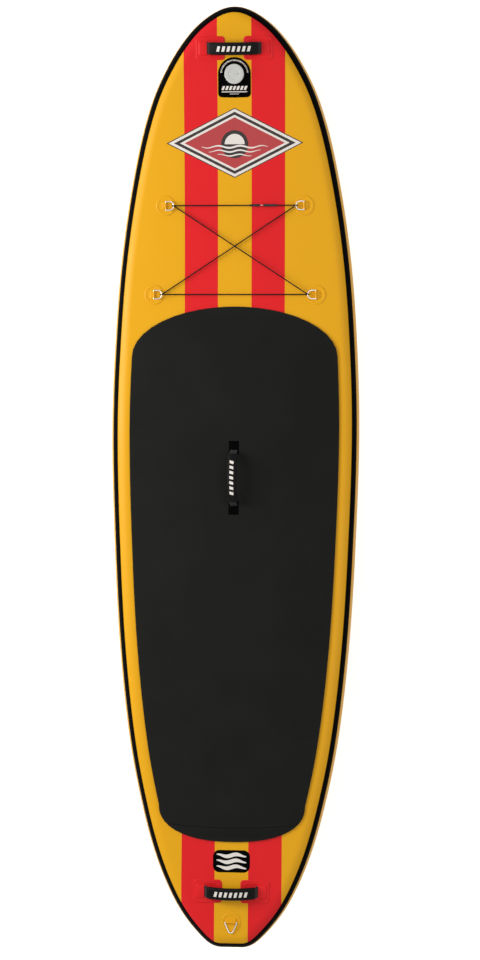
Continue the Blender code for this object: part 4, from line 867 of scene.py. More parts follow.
def ring_of_ribs():
    """Short upright ribs spaced round a circle."""
    tree, given, out = new_group("ring_of_ribs", "GeometryNodeTree", [
        ("Radius", "NodeSocketFloat", 0.03), ("Count", "NodeSocketInt", 40),
        ("Rib", "NodeSocketVector", (0.001, 0.0014, 0.008)), ("Material", "NodeSocketMaterial", None)],
        [("Geometry", "NodeSocketGeometry")])
    circle = add_node(tree, "GeometryNodeMeshCircle", {
        "Vertices": given.outputs["Count"], "Radius": given.outputs["Radius"]}).outputs[0]
    outward = add_node(tree, "GeometryNodeInputPosition").outputs[0]
    turn = add_node(tree, "FunctionNodeAlignRotationToVector", {"Vector": outward}, axis="X").outputs[0]
    rib = add_node(tree, "GeometryNodeMeshCylinder", {
        "Vertices": 8, "Radius": 0.5, "Depth": 1.0}).outputs[0]
    ribs = add_node(tree, "GeometryNodeInstanceOnPoints", {
        "Points": circle, "Instance": rib, "Rotation": turn, "Scale": given.outputs["Rib"]}).outputs[0]
    end_tree(tree, ribs, given, out)
    return tree


def end_tree(tree, instances, given, out):
    """Every tree ends in real geometry with its material."""
    real = add_node(tree, "GeometryNodeRealizeInstances", {0: instances}).outputs[0]
    done = add_node(tree, "GeometryNodeSetMaterial", {
        "Geometry": real, "Material": given.outputs["Material"]}).outputs[0]
    tree.links.new(done, out.inputs["Geometry"])


TREES = {"stitch_row": stitch_row, "standing_bars": standing_bars, "ring_of_ribs": ring_of_ribs}


def grown(name, tree_name, data, place=None, **values):
    """A piece made by one of the trees from a mesh, and turned into a plain mesh in its place."""
    tree = bpy.data.node_groups.get(tree_name) or TREES[tree_name]()
    obj = bpy.data.objects.new(name, data)
    bpy.context.scene.collection.objects.link(obj)
    modifier = obj.modifiers.new(tree_name, "NODES")
    modifier.node_group = tree
    for item in tree.interface.items_tree:
        if item.in_out == "INPUT" and item.name.lower() in values:
            modifier[item.identifier] = values[item.name.lower()]
    settle(obj)
    if place is not None:
        obj.data.transform(place)
    obj.data.shade_smooth()
    obj.data.set_sharp_from_angle(angle=math.radians(50))
    return obj


def line_mesh(name, *lines):
    """A mesh of plain polylines."""
    data = bpy.data.meshes.new(name)
    points, edges = [], []
    for line in lines:
        start = len(points)
        points += [tuple(p) for p in line]
        edges += [(start + i, start + i + 1) for i in range(len(line) - 1)]
    data.from_pydata(points, edges, [])
    return data


# Hull

def fill_flat(shape, ring):
    """Strips across the flat inside a ring of stations, from nose to tail."""
    count = len(ring)
    for i in range(STATIONS):
        middle = [ring[STATIONS + 1]] if i == STATIONS - 1 else []
        corners = [ring[i], ring[i + 1], *middle, ring[count - 1 - i], ring[(count - i) % count]]
        shape.faces.new(list(dict.fromkeys(corners)))


def lid(name, rings, material):
    """A closed sheet from an upper and a lower set of rings, each filled across inside its last ring."""
    shape = bmesh.new()
    borders = []
    for layer in rings:
        rows = [[shape.verts.new(point) for point in ring] for ring in layer]
        for row, after in zip(rows, rows[1:]):
            for k in range(len(row)):
                j = (k + 1) % len(row)
                shape.faces.new((row[k], row[j], after[j], after[k]))
        fill_flat(shape, rows[-1])
        borders.append(rows[0])
    upper, lower = borders
    for k in range(len(upper)):
        j = (k + 1) % len(upper)
        shape.faces.new((upper[k], upper[j], lower[j], lower[k]))
    return new_object(name, shape, material, sharp=50.0)


def skin(name, side, material):
    stations = range(len(OUTLINE))
    return lid(name, [
        [[hull_point(k, side * angle, depth) for k in stations] for angle in DECK_ANGLES]
        for depth in (0.0, SKIN)], material)


def rail_strip(name, stations, angles, outer, inner, material, side=0, swell=0.0):
    """A strip along the rail between two depths, round the whole board or on one side of it.

    The swell is the share by which its inner part is wider at the nose."""
    rings = []
    for k in stations:
        wide = swell * max(OUTLINE[k][0].y / (LENGTH / 2), 0.0) ** 3
        bent = [a + math.copysign(wide * max(abs(a) - SEAM_ANGLE, 0.0), a) for a in angles]
        ring = [hull_point(k, a, outer) for a in bent] + [hull_point(k, a, inner) for a in reversed(bent)]
        if side:
            ring = [Vector((side * max(p.x, GAP / 2), p.y, p.z)) for p in ring]
        rings.append(ring)
    shape = bmesh.new()
    sweep(shape, rings, closed=not side)
    return new_object(name, shape, material, sharp=50.0)


def valve_hole(low, high):
    shape = bmesh.new()
    place = raised(frame_at(0.0, VALVE_Y), (low + high) / 2)
    bmesh.ops.create_cone(shape, cap_ends=True, segments=64, radius1=VALVE_NECK_RADIUS + GAP,
                          radius2=VALVE_NECK_RADIUS + GAP, depth=high - low, matrix=place)
    return new_object("valve_hole", shape, finish("coated_yellow"))


class BOARD_OT_hull(bpy.types.Operator):
    """Deck and bottom skins, rail walls and the tapes over their seams"""

    bl_idname = "board.hull"
    bl_label = "Hull skins"

    def execute(self, context):
        deck = cut(skin("deck_coat", 1, finish("printed_deck")), valve_hole(-0.01, 0.01))
        dress(deck, "board", "yellow_pvc", "deck_skin")
        dress(skin("bottom_coat", -1, finish("coated_yellow")), "board", "yellow_pvc", "bottom_skin")
        half_way, around = range(STATIONS + 2), range(len(OUTLINE))
        for side, word in ((1, "right"), (-1, "left")):
            wall = rail_strip(
                f"rail_coat_{word}", half_way, WALL_ANGLES, 0.0, SKIN, finish("coated_yellow"), side)
            dress(wall, "board", "yellow_pvc", f"rail_wall_{word}")
        for side, word, material, slot in (
                (1, "upper", "coated_black", "black_pvc"), (-1, "lower", "coated_yellow", "yellow_pvc")):
            angles = [side * a for a in TAPE_ANGLES]
            tape = rail_strip(
                f"{word}_tape_strip", around, angles, -GAP - TAPE, -GAP, finish(material), swell=TAPE_SWELL)
            dress(tape, "board", slot, f"{word}_rail_tape")
        return {"FINISHED"}


class BOARD_OT_core(bpy.types.Operator):
    """The two textile sheets inside the hull and the yarn that ties them"""

    bl_idname = "board.core"
    bl_label = "Drop-stitch core"

    def execute(self, context):
        for side, word in ((1, "upper"), (-1, "lower")):
            layers = []
            for depth in (SKIN + GAP, SKIN + GAP + SHEET):
                high = THICKNESS - depth if side > 0 else depth
                ring = []
                for point, normal in OUTLINE:
                    flat = point - normal * (RAIL_DEPTH + CORE_INSET)
                    ring.append(Vector((flat.x, flat.y, float(rocker(flat.y)) + high)))
                layers.append([ring])
            sheet = lid(f"core_{word}_sheet", layers, finish("core_textile"))
            if side > 0:
                cut(sheet, valve_hole(-0.02, 0.01))
            dress(sheet, "board", "textile", "drop_stitch_core")
        pitch = size("yarn_pitch")
        places, heights = [], []
        for j in range(int(-CORE_REACH_Y / pitch), int(CORE_REACH_Y / pitch) + 1):
            y = j * pitch
            reach = board_half(y) - (RAIL_DEPTH + YARN_CLEARANCE)
            for i in range(int(-reach / pitch), int(reach / pitch) + 1):
                if reach > 0.0 and math.hypot(i * pitch, y - VALVE_Y) > NUT_RADIUS + YARN_CLEARANCE:
                    places.append((i * pitch, y, float(rocker(y)) + THICKNESS / 2))
                    heights.append(THICKNESS - 2 * (SKIN + GAP) - SHEET)
        data = bpy.data.meshes.new("core_yarns")
        data.from_pydata(places, [], [])
        data.attributes.new("height", "FLOAT", "POINT").data.foreach_set("value", heights)
        yarns = grown("core_yarns", "standing_bars", data, thickness=YARN, material=finish("core_textile"))
        dress(yarns, "board", "textile", "drop_stitch_core")
        return {"FINISHED"}


# Deck pad

def pad_edge():
    """(half width, y) along the pad's edge, from its front to its rear."""
    shoulder = board_half(PAD_SHOULDER_Y) - PAD_MARGIN
    heel = board_half(PAD_HEEL_Y) - PAD_MARGIN
    edge = []
    for degrees in (89, 87, 84, 80, 75, 69, 62, 54, 45, 36, 27, 18, 9):
        turn = math.radians(degrees)
        y = PAD_SHOULDER_Y + (PAD_FRONT_Y - PAD_SHOULDER_Y) * math.sin(turn)
        edge.append((shoulder * math.cos(turn), y))
    steps = 90
    for i in range(steps + 1):
        y = PAD_SHOULDER_Y + (PAD_HEEL_Y - PAD_SHOULDER_Y) * i / steps
        edge.append((board_half(y) - PAD_MARGIN, y))
    for degrees in (5, 11, 18, 26, 34, 42, 50, 58, 66, 73, 79, 84, 88):
        turn = math.radians(degrees)
        across, back = (way(turn) ** (2 / PAD_HEEL_POWER) for way in (math.cos, math.sin))
        edge.append((heel * across, PAD_HEEL_Y + (PAD_REAR_Y - PAD_HEEL_Y) * back))
    return edge


def block(name, low, high, place, material="brushed_foam"):
    """A plain box, to cut with."""
    shape = bmesh.new()
    centre, extent = (Vector(low) + Vector(high)) / 2, Vector(high) - Vector(low)
    bmesh.ops.create_cube(shape, matrix=place @ Matrix.Translation(centre) @ Matrix.Diagonal((*extent, 1.0)))
    return new_object(name, shape, finish(material))


def pad_openings():
    """What the pad leaves free for the centre handle's patches, pockets and straps."""
    place = frame_at(0.0, CENTRE_HANDLE_Y, turn=90.0)
    slot = strap_path(*CENTRE_GRIP[:2])[1]
    half = CENTRE_GRIP[4] / 2 + POCKET_WALL + GAP * 3
    middle = slot - PATCH_INSET
    wide, reach = PATCH_WIDTH / 2 + GAP * 3, PATCH_DEPTH / 2 + GAP * 3
    for side in (-1, 1):
        low, high = sorted((side * (middle - wide), side * (middle + wide)))
        yield block("recess", (low, -reach, -PAD), (high, reach, PATCH + GAP * 2), place)
        low, high = sorted((side * (GRIP_HALF + 0.001), side * (slot + STRAP_TUCK + POCKET_WALL + GAP * 3)))
        yield block("slot", (low, -half, -2 * PAD), (high, half, 2 * PAD), place)


def seam_groove():
    """The sagging groove where the pad's main sheet meets its rear one."""
    rings = []
    reach = board_half(PAD_SEAM_Y) - PAD_MARGIN + 0.02
    for i in range(41):
        x = reach * (2 * i / 40 - 1)
        y = PAD_SEAM_Y - PAD_SEAM_SAG * (1 - (x / reach) ** 2)
        top = float(rocker(y)) + THICKNESS + DRAPE_GAP + PAD
        wide = PAD_SEAM_WIDTH / 2
        rings.append([(x, y - wide * 1.6, top + 0.001), (x, y + wide * 1.6, top + 0.001),
                      (x, y + wide * 0.5, top - 0.0028), (x, y - wide * 0.5, top - 0.0028)])
    shape = bmesh.new()
    sweep(shape, [[Vector(p) for p in ring] for ring in rings])
    return new_object("seam_groove", shape, finish("brushed_foam"))


class BOARD_OT_pad(bpy.types.Operator):
    """The foam deck pad with its rounded edge, its rear seam and its openings for the centre handle"""

    bl_idname = "board.pad"
    bl_label = "Deck pad"

    def execute(self, context):
        shape = bmesh.new()
        rings = []
        for half, y in pad_edge():
            low = THICKNESS + float(rocker(y)) + DRAPE_GAP
            high = low + PAD
            corners = ((-half, y, low), (half, y, low), (half, y, high), (-half, y, high))
            rings.append([Vector(p) for p in corners])
        sweep(shape, rings)
        pad = bevel(new_object("foam_pad", shape, finish("brushed_foam")), PAD_ROUND, 2, 60.0)
        for cutter in [*pad_openings(), seam_groove()]:
            cut(pad, cutter)
        dress(pad, "board", "pad_foam", "deck_pad")
        return {"FINISHED"}


# Sheets that lie on the deck

def rounded_outline(width, depth, corner, steps=8):
    """Points of a rounded rectangle round its middle."""
    points = []
    for quarter, (x, y) in enumerate(((1, 1), (-1, 1), (-1, -1), (1, -1))):
        for i in range(steps + 1):
            turn = math.pi / 2 * (quarter + i / steps)
            points.append((x * (width / 2 - corner) + corner * math.cos(turn),
                           y * (depth / 2 - corner) + corner * math.sin(turn)))
    return densified(points)


def densified(points, longest=0.006):
    """The closed outline with its long sides divided."""
    out = []
    for (ax, ay), (bx, by) in zip(points, points[1:] + points[:1]):
        steps = max(1, math.ceil(math.hypot(bx - ax, by - ay) / longest))
        out += [(ax + (bx - ax) * i / steps, ay + (by - ay) * i / steps) for i in range(steps)]
    return out


def circle_outline(radius, sides=72):
    return [(radius * math.cos(2 * math.pi * i / sides), radius * math.sin(2 * math.pi * i / sides))
            for i in range(sides)]


# Share of the way out and height above the sheet, at each fold of an embossed patch
HANDLE_RELIEF = (
    (0.0, 0.0), (0.25, 0.0), (0.5, 0.0), (0.66, 0.0), (0.69, 1.0), (0.72, 1.0), (0.75, 0.0),
    (0.84, 0.0), (0.87, 1.0), (0.90, 1.0), (0.93, 0.0), (0.985, 0.0), (1.0, -0.8))
RING_RELIEF = (
    (0.0, 0.0), (0.3, 0.0), (0.6, 0.0), (0.76, 0.0), (0.80, 1.0), (0.85, 1.3), (0.90, 1.0),
    (0.94, 0.0), (0.98, 0.0), (1.0, -0.8))
VALVE_RELIEF = (
    (0.0, 0.0), (0.4, 0.0), (0.7, 0.0), (0.93, 0.0), (0.95, 0.5), (0.975, 0.5), (0.99, 0.0),
    (1.0, -0.8))


def draped_patch(name, outline_points, relief, place, material):
    """A glued sheet that follows the deck, with folds along copies of its outline."""
    count = len(outline_points)
    flat = np.zeros((len(relief), count, 2))
    for r, (share, _) in enumerate(relief):
        flat[r] = np.array(outline_points) * max(share, 1e-5)
    spin = np.array(place.to_3x3())[:2, :2]
    world = flat @ spin.T + np.array(place.translation)[:2]
    base = deck_heights(world[..., 0], world[..., 1]) + DRAPE_GAP
    rise = np.array([PATCH + PATCH_LAYER * fold for _, fold in relief])[:, None]
    top = np.dstack([world, base + rise])
    bottom = np.dstack([world, base])
    shape = grid_solid(top.tolist(), bottom.tolist(), wrap=True)
    return new_object(name, shape, material, sharp=60.0, merge=2e-5)


# Carry handles

def strap_path(rise, end_rise, steps=12):
    """Half of the strap's middle line as (along, height), from the top of its arch to the end of its tuck."""
    tuck = PATCH + GAP * 2 + STRAP / 2
    sag = (rise - end_rise) / GRIP_HALF ** 2
    free = GRIP_HALF + STRAP_FREE
    arch = [GRIP_HALF * i / steps for i in range(steps + 1)] + [free]
    path = [(along, rise - sag * along ** 2) for along in arch]
    first = math.atan(2 * sag * free)
    steep = math.radians(STRAP_DROP_ANGLE)
    along, height = path[-1]
    for i in range(1, 6):
        turn = first + (steep - first) * i / 5
        path.append((along + STRAP_BEND * (math.sin(turn) - math.sin(first)),
                     height - STRAP_BEND * (math.cos(first) - math.cos(turn))))
    along, height = path[-1]
    foot = tuck + STRAP_BEND * (1 - math.cos(steep))
    start, high = along, height
    along += (height - foot) / math.tan(steep)
    path += [(start + (along - start) * s, high + (foot - high) * s) for s in (0.25, 0.5, 0.75, 1.0)]
    for i in range(1, 6):
        turn = steep * (1 - i / 5)
        path.append((along + STRAP_BEND * (math.sin(steep) - math.sin(turn)),
                     tuck + STRAP_BEND * (1 - math.cos(turn))))
    slot = path[-1][0]
    path += [(slot + STRAP_TUCK * s, tuck) for s in (0.5, 1.0)]
    return path, slot


def strap_half(name, path, side, width, slot, lean, hinge, place):
    """Half of a handle's webbing: it leans with the grip, and its tucked end lies flat."""
    rings = []
    for i, (along, height) in enumerate(path):
        before, after = Vector(path[max(i - 1, 0)]), Vector(path[min(i + 1, len(path) - 1)])
        way = (after - before).normalized()
        up = Vector((-way.y, way.x)) * STRAP / 2
        share = min(max((slot - along) / (slot - GRIP_HALF), 0.0), 1.0)
        turn = raised(place, hinge) @ Matrix.Rotation(lean * share, 4, "X")
        edge = width / 2
        near = edge - 0.0006
        ring = []
        for across, lift in ((-edge, -0.5), (-edge, 0.5), (-near, 1.0), (-edge / 3, 1.0), (edge / 3, 1.0),
                             (near, 1.0), (edge, 0.5), (edge, -0.5), (near, -1.0), (-near, -1.0)):
            ring.append(turn @ Vector((side * (along + up.x * lift), across, height - hinge + up.y * lift)))
        rings.append(ring)
    shape = bmesh.new()
    sweep(shape, rings)
    return new_object(name, shape, finish("webbing"), sharp=50.0)


def grip_arch(along, rise, end_rise):
    """Height of the grip's middle line and the direction square to it."""
    sag = (rise - end_rise) / GRIP_HALF ** 2
    lean = math.atan(2 * sag * along)
    return rise - sag * along * along, Vector((math.sin(lean), 0.0, math.cos(lean)))


def pinch(along):
    """How the sleeve's thickness swells and narrows along it."""
    return 1.0 + 0.02 * math.cos(along / GRIP_HALF * 9.0)


def grip_sleeve(name, grip, hinge, place):
    """The soft sleeve: an oval with rounded ends and a bore for the strap."""
    rise, end_rise, width, thickness, strap_width, _ = grip
    corners, steps = 40, 44
    outer, inner = [], []
    for i in range(steps + 1):
        along = -GRIP_HALF * math.cos(math.pi * i / steps)
        height, normal = grip_arch(along, rise - hinge, end_rise - hinge)
        inset = 1.0 - 0.34 * max(0.0, 1.0 - (GRIP_HALF - abs(along)) / 0.005) ** 2
        rows = []
        for wide, high, power, shrink in (
                (width / 2, thickness / 2, GRIP_POWER, inset),
                (strap_width / 2 + 2 * GAP, STRAP / 2 + 2 * GAP, 0.2, 1.0)):
            row = []
            for k in range(corners):
                turn = 2 * math.pi * (k + 0.5) / corners
                across = math.copysign(abs(math.cos(turn)) ** power, math.cos(turn)) * wide
                up = math.copysign(abs(math.sin(turn)) ** power, math.sin(turn)) * high
                if shrink != 1.0 or wide == width / 2:
                    across -= math.copysign(min(abs(across), high * (1 - shrink) * 1.5), across)
                    up *= shrink * pinch(along)
                row.append(place @ (Vector((along, across, height)) + normal * up))
            rows.append(row)
        outer.append(rows[0])
        inner.append(rows[1])
    shape = bmesh.new()
    sweep(shape, outer + inner[::-1], closed=True)
    return new_object(name, shape, finish("grip_sleeve"), sharp=50.0)


def on_grip(along, across, grip, hinge, lift=0.0):
    """A point on the upper side of a grip's sleeve."""
    rise, end_rise, width, thickness = grip[:4]
    height, normal = grip_arch(along, rise - hinge, end_rise - hinge)
    share = min(abs(across) / (width / 2), 0.999) ** (1 / GRIP_POWER)
    up = thickness / 2 * math.sqrt(1 - share * share) ** GRIP_POWER
    return Vector((along, across, height)) + normal * (up * pinch(along) + lift)


def grip_bars(name, grip, hinge, place):
    """Seven slanted bars printed along the grip."""
    shape = bmesh.new()
    reach = grip[2] * 0.21
    for i in range(GRIP_BARS):
        middle = (i - GRIP_BARS // 2) * GRIP_BAR_PITCH
        grids = []
        for lift in (0.00035, 0.00005):
            grid = []
            for u in range(5):
                across = reach * (u / 2 - 1)
                start = middle + 0.25 * across - GRIP_BAR / 2
                ends = [start + GRIP_BAR * v / 3 for v in range(4)]
                grid.append([place @ on_grip(along, across, grip, hinge, lift) for along in ends])
            grids.append(grid)
        bar = grid_solid(*grids)
        data = bpy.data.meshes.new("bar")
        bar.to_mesh(data)
        bar.free()
        shape.from_mesh(data)
        bpy.data.meshes.remove(data)
    return new_object(name, shape, finish("pale_ink"), merge=0.0)


def pocket_hump(name, side, slot, strap_width, place, material):
    """The raised pocket that holds the strap's end."""
    start, end = slot + 0.0005, slot + STRAP_TUCK + POCKET_WALL
    high = PATCH + GAP * 3 + STRAP + POCKET_ROOF
    half = strap_width / 2 + POCKET_WALL
    rings = []
    for share, size_share, rise in ((0.0, 1.0, 1.0), (0.1, 1.0, 1.0), (0.5, 1.0, 1.0), (0.78, 1.0, 0.97),
                                    (0.90, 0.98, 0.82), (0.97, 0.95, 0.5), (1.0, 0.92, 0.18)):
        x = side * (start + (end - start) * share)
        reach, top = half * size_share, PATCH * 0.5 + (high - PATCH * 0.5) * rise
        ring = [(x, -reach, PATCH * 0.5), (x, -reach, top * 0.45), (x, -reach + 0.0012, top * 0.86),
                (x, -reach + 0.0030, top), (x, 0.0, top), (x, reach - 0.0030, top),
                (x, reach - 0.0012, top * 0.86), (x, reach, top * 0.45), (x, reach, PATCH * 0.5)]
        rings.append([place @ Vector(p) for p in ring])
    shape = bmesh.new()
    sweep(shape, rings)
    return new_object(name, shape, material, sharp=50.0)


def joined(name, parts):
    """Several finished objects as one."""
    first = parts[0]
    shape = bmesh.new()
    for part in parts:
        shape.from_mesh(part.data)
    shape.to_mesh(first.data)
    shape.free()
    for part in parts[1:]:
        bpy.data.objects.remove(part, do_unlink=True)
    first.name = first.data.name = name
    return first


def carry_handle(name, y, grip, body, material, slot_name, turn, words):
    """Two patches with their pockets, the webbing in two halves, and the grip with its stitches and print."""
    lean = math.radians(grip[5])
    path, slot = strap_path(*grip[:2])
    hinge = path[-1][1]
    place = raised(frame_at(0.0, y, turn=turn), DRAPE_GAP)
    pivot = raised(place, hinge) @ Matrix.Rotation(lean, 4, "X")
    for side, word in zip((-1, 1), words):
        middle = place @ Matrix.Translation((side * (slot - PATCH_INSET), 0.0, 0.0))
        edge = rounded_outline(PATCH_WIDTH, PATCH_DEPTH, PATCH_CORNER)
        sheet = draped_patch("sheet", edge, HANDLE_RELIEF, middle, finish(material))
        hump = pocket_hump("hump", side, slot, grip[4], place, finish(material))
        patch = joined(f"{name}_glued_patch_{word}", [sheet, hump])
        dress(patch, "board", slot_name, f"{name}_patch_{word}")
        half = strap_half(f"{name}_strap_{word}", path, side, grip[4], slot, lean, hinge, place)
        dress_bending(half, body, "webbing", place @ Vector((side * slot, 0.0, hinge)),
                      place @ Vector((side * GRIP_HALF, 0.0, hinge)), f"{name}_webbing")
    dress(grip_sleeve(f"{name}_soft_grip", grip, hinge, pivot), body, "grip", f"{name}_grip")
    dress(grip_bars(f"{name}_printed_bars", grip, hinge, pivot), body, "grip")
    rows = []
    reach, half = GRIP_HALF - STITCH_INSET, grip[2] * 0.42
    for end in (-1, 1):
        along = end * reach
        rows.append([pivot @ on_grip(along, half * (i / 10 - 1), grip, hinge, 0.0001) for i in range(21)])
    for edge in (-1, 1):
        across = edge * grip[2] * 0.40
        rows.append([pivot @ on_grip(reach * (i / 16 - 1), across, grip, hinge, 0.0001) for i in range(33)])
    stitches = grown(f"{name}_stitches", "stitch_row", line_mesh(f"{name}_stitches", *rows),
                     pitch=size("stitch_pitch"), thickness=STITCH, material=finish("thread"))
    dress(stitches, body, "grip")


def dress_bending(obj, body, slot_name, start, end, *nodes):
    """A piece that spans the board and one of its moving bodies: hides its solids and bakes its place into
    its mesh.
    """
    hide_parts(*nodes)
    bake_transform(obj)
    return obj


class BOARD_OT_handles(bpy.types.Operator):
    """The nose, centre and tail handles with their patches, straps and grips"""

    bl_idname = "board.handles"
    bl_label = "Carry handles"

    def execute(self, context):
        across, along = ("left", "right"), ("rear", "front")
        red, black = ("coated_red", "red_pvc"), ("coated_black", "black_pvc")
        carry_handle("nose_handle", NOSE_HANDLE_Y, END_GRIP, "nose_grip", *red, 0.0, across)
        carry_handle("tail_handle", TAIL_HANDLE_Y, END_GRIP, "tail_grip", *red, 0.0, across)
        carry_handle("centre_handle", CENTRE_HANDLE_Y, CENTRE_GRIP, "centre_grip", *black, 90.0, along)
        return {"FINISHED"}


# Rings, tabs and cargo cord

def arc(centre, radius, start, end, steps):
    """Points round a centre from one angle to another, both ends included."""
    turns = [start + (end - start) * i / steps for i in range(steps + 1)]
    return [(centre[0] + radius * math.cos(t), centre[1] + radius * math.sin(t)) for t in turns]


def ring_points(inside, reach, tip_radius):
    """Middle line of a D-ring: its bar on the Y axis, its bow reaching out along X."""
    half = inside / 2 + WIRE / 2
    corner = (RING_CORNER, half - RING_CORNER)
    tip = (reach - tip_radius, 0.0)
    span = math.hypot(tip[0] - corner[0], tip[1] - corner[1])
    heading = math.atan2(tip[1] - corner[1], tip[0] - corner[0])
    square = heading + math.acos((RING_CORNER - tip_radius) / span)
    upper = arc(corner, RING_CORNER, math.pi, square, 6)
    bow = arc(tip, tip_radius, square, -square, 24)
    lower = [(x, -y) for x, y in reversed(upper)]
    points = upper + bow + lower
    straight = [(0.0, -half + RING_CORNER + (2 * half - 2 * RING_CORNER) * s) for s in (0.25, 0.5, 0.75)]
    return [Vector((x, y, 0.0)) for x, y in points + straight]


def folded_tab(name, inside, place):
    """The strap folded round the ring's bar, with its welded foot behind."""
    outside = TAB_BORE + TAB
    top = 2 * TAB - outside
    meet = math.pi - math.asin(top / outside)
    edge = arc((0.0, 0.0), outside, -math.pi / 2, meet, 20)
    edge += [(-TAB_FOOT * 0.7, top + 0.0002), (-TAB_FOOT + 0.0006, top), (-TAB_FOOT, top - 0.0006),
             (-TAB_FOOT, -outside)]
    hole = arc((0.0, 0.0), TAB_BORE, -math.pi / 2, meet, 20)
    half = inside / 2 + WIRE / 2 - RING_CORNER - GAP
    grids = []
    for line in (edge, hole):
        grid = []
        for x, z in line:
            wide = half * (1.0 - 0.05 * max(0.0, x / outside))
            shares = (-1.0, -0.93, -0.5, 0.0, 0.5, 0.93, 1.0)
            grid.append([place @ Vector((x, wide * s, z)) for s in shares])
        grids.append(grid)
    shape = fold_solid(*grids)
    return new_object(name, shape, finish("coated_yellow"), sharp=50.0, merge=1e-7)


def fold_solid(outer, inner):
    """A folded sheet: the outer face, the bore, both side faces, and the foot's underside under the bore."""
    shape = bmesh.new()
    rows_out = [[shape.verts.new(p) for p in row] for row in outer]
    rows_in = [[shape.verts.new(p) for p in row] for row in inner[:21]]
    loop = rows_out + rows_in[::-1]
    for row, after in zip(loop, loop[1:] + loop[:1]):
        for i in range(len(row) - 1):
            shape.faces.new((row[i], row[i + 1], after[i + 1], after[i]))
    for side in (0, -1):
        edge, hole = ([row[side] for row in rows] for rows in (rows_out, rows_in))
        for k in range(20):
            shape.faces.new((edge[k], edge[k + 1], hole[k + 1], hole[k]))
        shape.faces.new([*edge[20:], edge[0], hole[0], hole[20]])
    return shape


def ring_frames(name):
    """The place of a ring's patch on the deck, and the place of the ring itself on its bar."""
    x, y, turn, _ = RING_PLACES[name]
    tilt = (TAIL_RING if name == "tail_ring" else CARGO_RING)[3]
    place = frame_at(x, y, turn=turn)
    pivot = raised(place, BAR_HEIGHT) @ Matrix.Rotation(-math.radians(tilt), 4, "Y")
    return place, pivot


class BOARD_OT_rings(bpy.types.Operator):
    """The five D-rings with their round glued patches and folded tabs"""

    bl_idname = "board.rings"
    bl_label = "Rings"

    def execute(self, context):
        for name, (_, _, _, body) in RING_PLACES.items():
            sizes = TAIL_RING if name == "tail_ring" else CARGO_RING
            place, pivot = ring_frames(name)
            patch = draped_patch(
                f"{name}_round_patch", circle_outline(RING_PATCH_RADIUS), RING_RELIEF, place,
                finish("coated_yellow"))
            dress(patch, "board", "yellow_pvc", f"{name}_patch")
            tab = folded_tab(f"{name}_folded_tab", sizes[0], raised(place, BAR_HEIGHT))
            dress(tab, "board", "yellow_pvc", f"{name}_tab")
            points = [pivot @ point for point in ring_points(*sizes[:3])]
            wire = tube(f"{name}_wire", points, WIRE, finish("ring_steel"), 16, closed=True)
            dress(wire, body, "steel", name)
        return {"FINISHED"}


def hairpin(name, tip_side):
    """The cord's half turn round a ring's bow, from above to below."""
    place, pivot = ring_frames(name)
    tip = pivot @ Vector((CARGO_RING[1], 0.0, 0.0))
    up = place.to_3x3() @ Vector((0.0, 0.0, 1.0))
    inward = Vector((-tip_side, 0.0, 0.0))
    turns = [math.pi * i / 12 for i in range(13)]
    return [tip + (up * math.cos(t) + inward * math.sin(t)) * CORD_TURN for t in turns]


def strand(start, end):
    """Points between two places, close together over the last stretch before the end, next to its ring."""
    length = (end - start).length
    reach = min(CORD_BEND + 0.030, length)
    away = [length - (length - reach) * i / 8 for i in range(8)] + [reach * (1 - i / 24) for i in range(24)]
    return [end.lerp(start, distance / length) for distance in away]


def end_sleeve(name, low, high, towards, y, z):
    """A tapered moulded sleeve with grip rings, open at both ends."""
    length = high - low
    outer, cord_bore, hook_bore = SLEEVE_DIAMETER / 2, CORD / 2 + GAP, HOOK_WIRE / 2 + GAP
    profile = [(0.0, SLEEVE_BORE_DEPTH), (cord_bore, SLEEVE_BORE_DEPTH), (cord_bore, 0.0),
               (outer * 0.72, 0.0), (outer * 0.80, 0.0006), (outer * 0.88, length * 0.22)]
    for i in range(4):
        at = length * (0.28 + 0.08 * i)
        profile += [(outer * 0.93, at), (outer * 0.86, at + 0.0007), (outer * 0.93, at + 0.0014)]
    profile += [(outer, length * 0.66), (outer, length - 0.0010), (outer * 0.86, length - 0.0001),
                (outer * 0.80, length), (hook_bore, length), (hook_bore, length - HOOK_SEAT),
                (0.0, length - HOOK_SEAT)]
    start = Matrix.Translation((low if towards > 0 else high, y, z))
    place = start @ Matrix.Rotation(math.pi / 2 * towards, 4, "Y")
    return dress(turned(name, profile, 28, place, finish("black_moulding")), "board", "black_plastic")


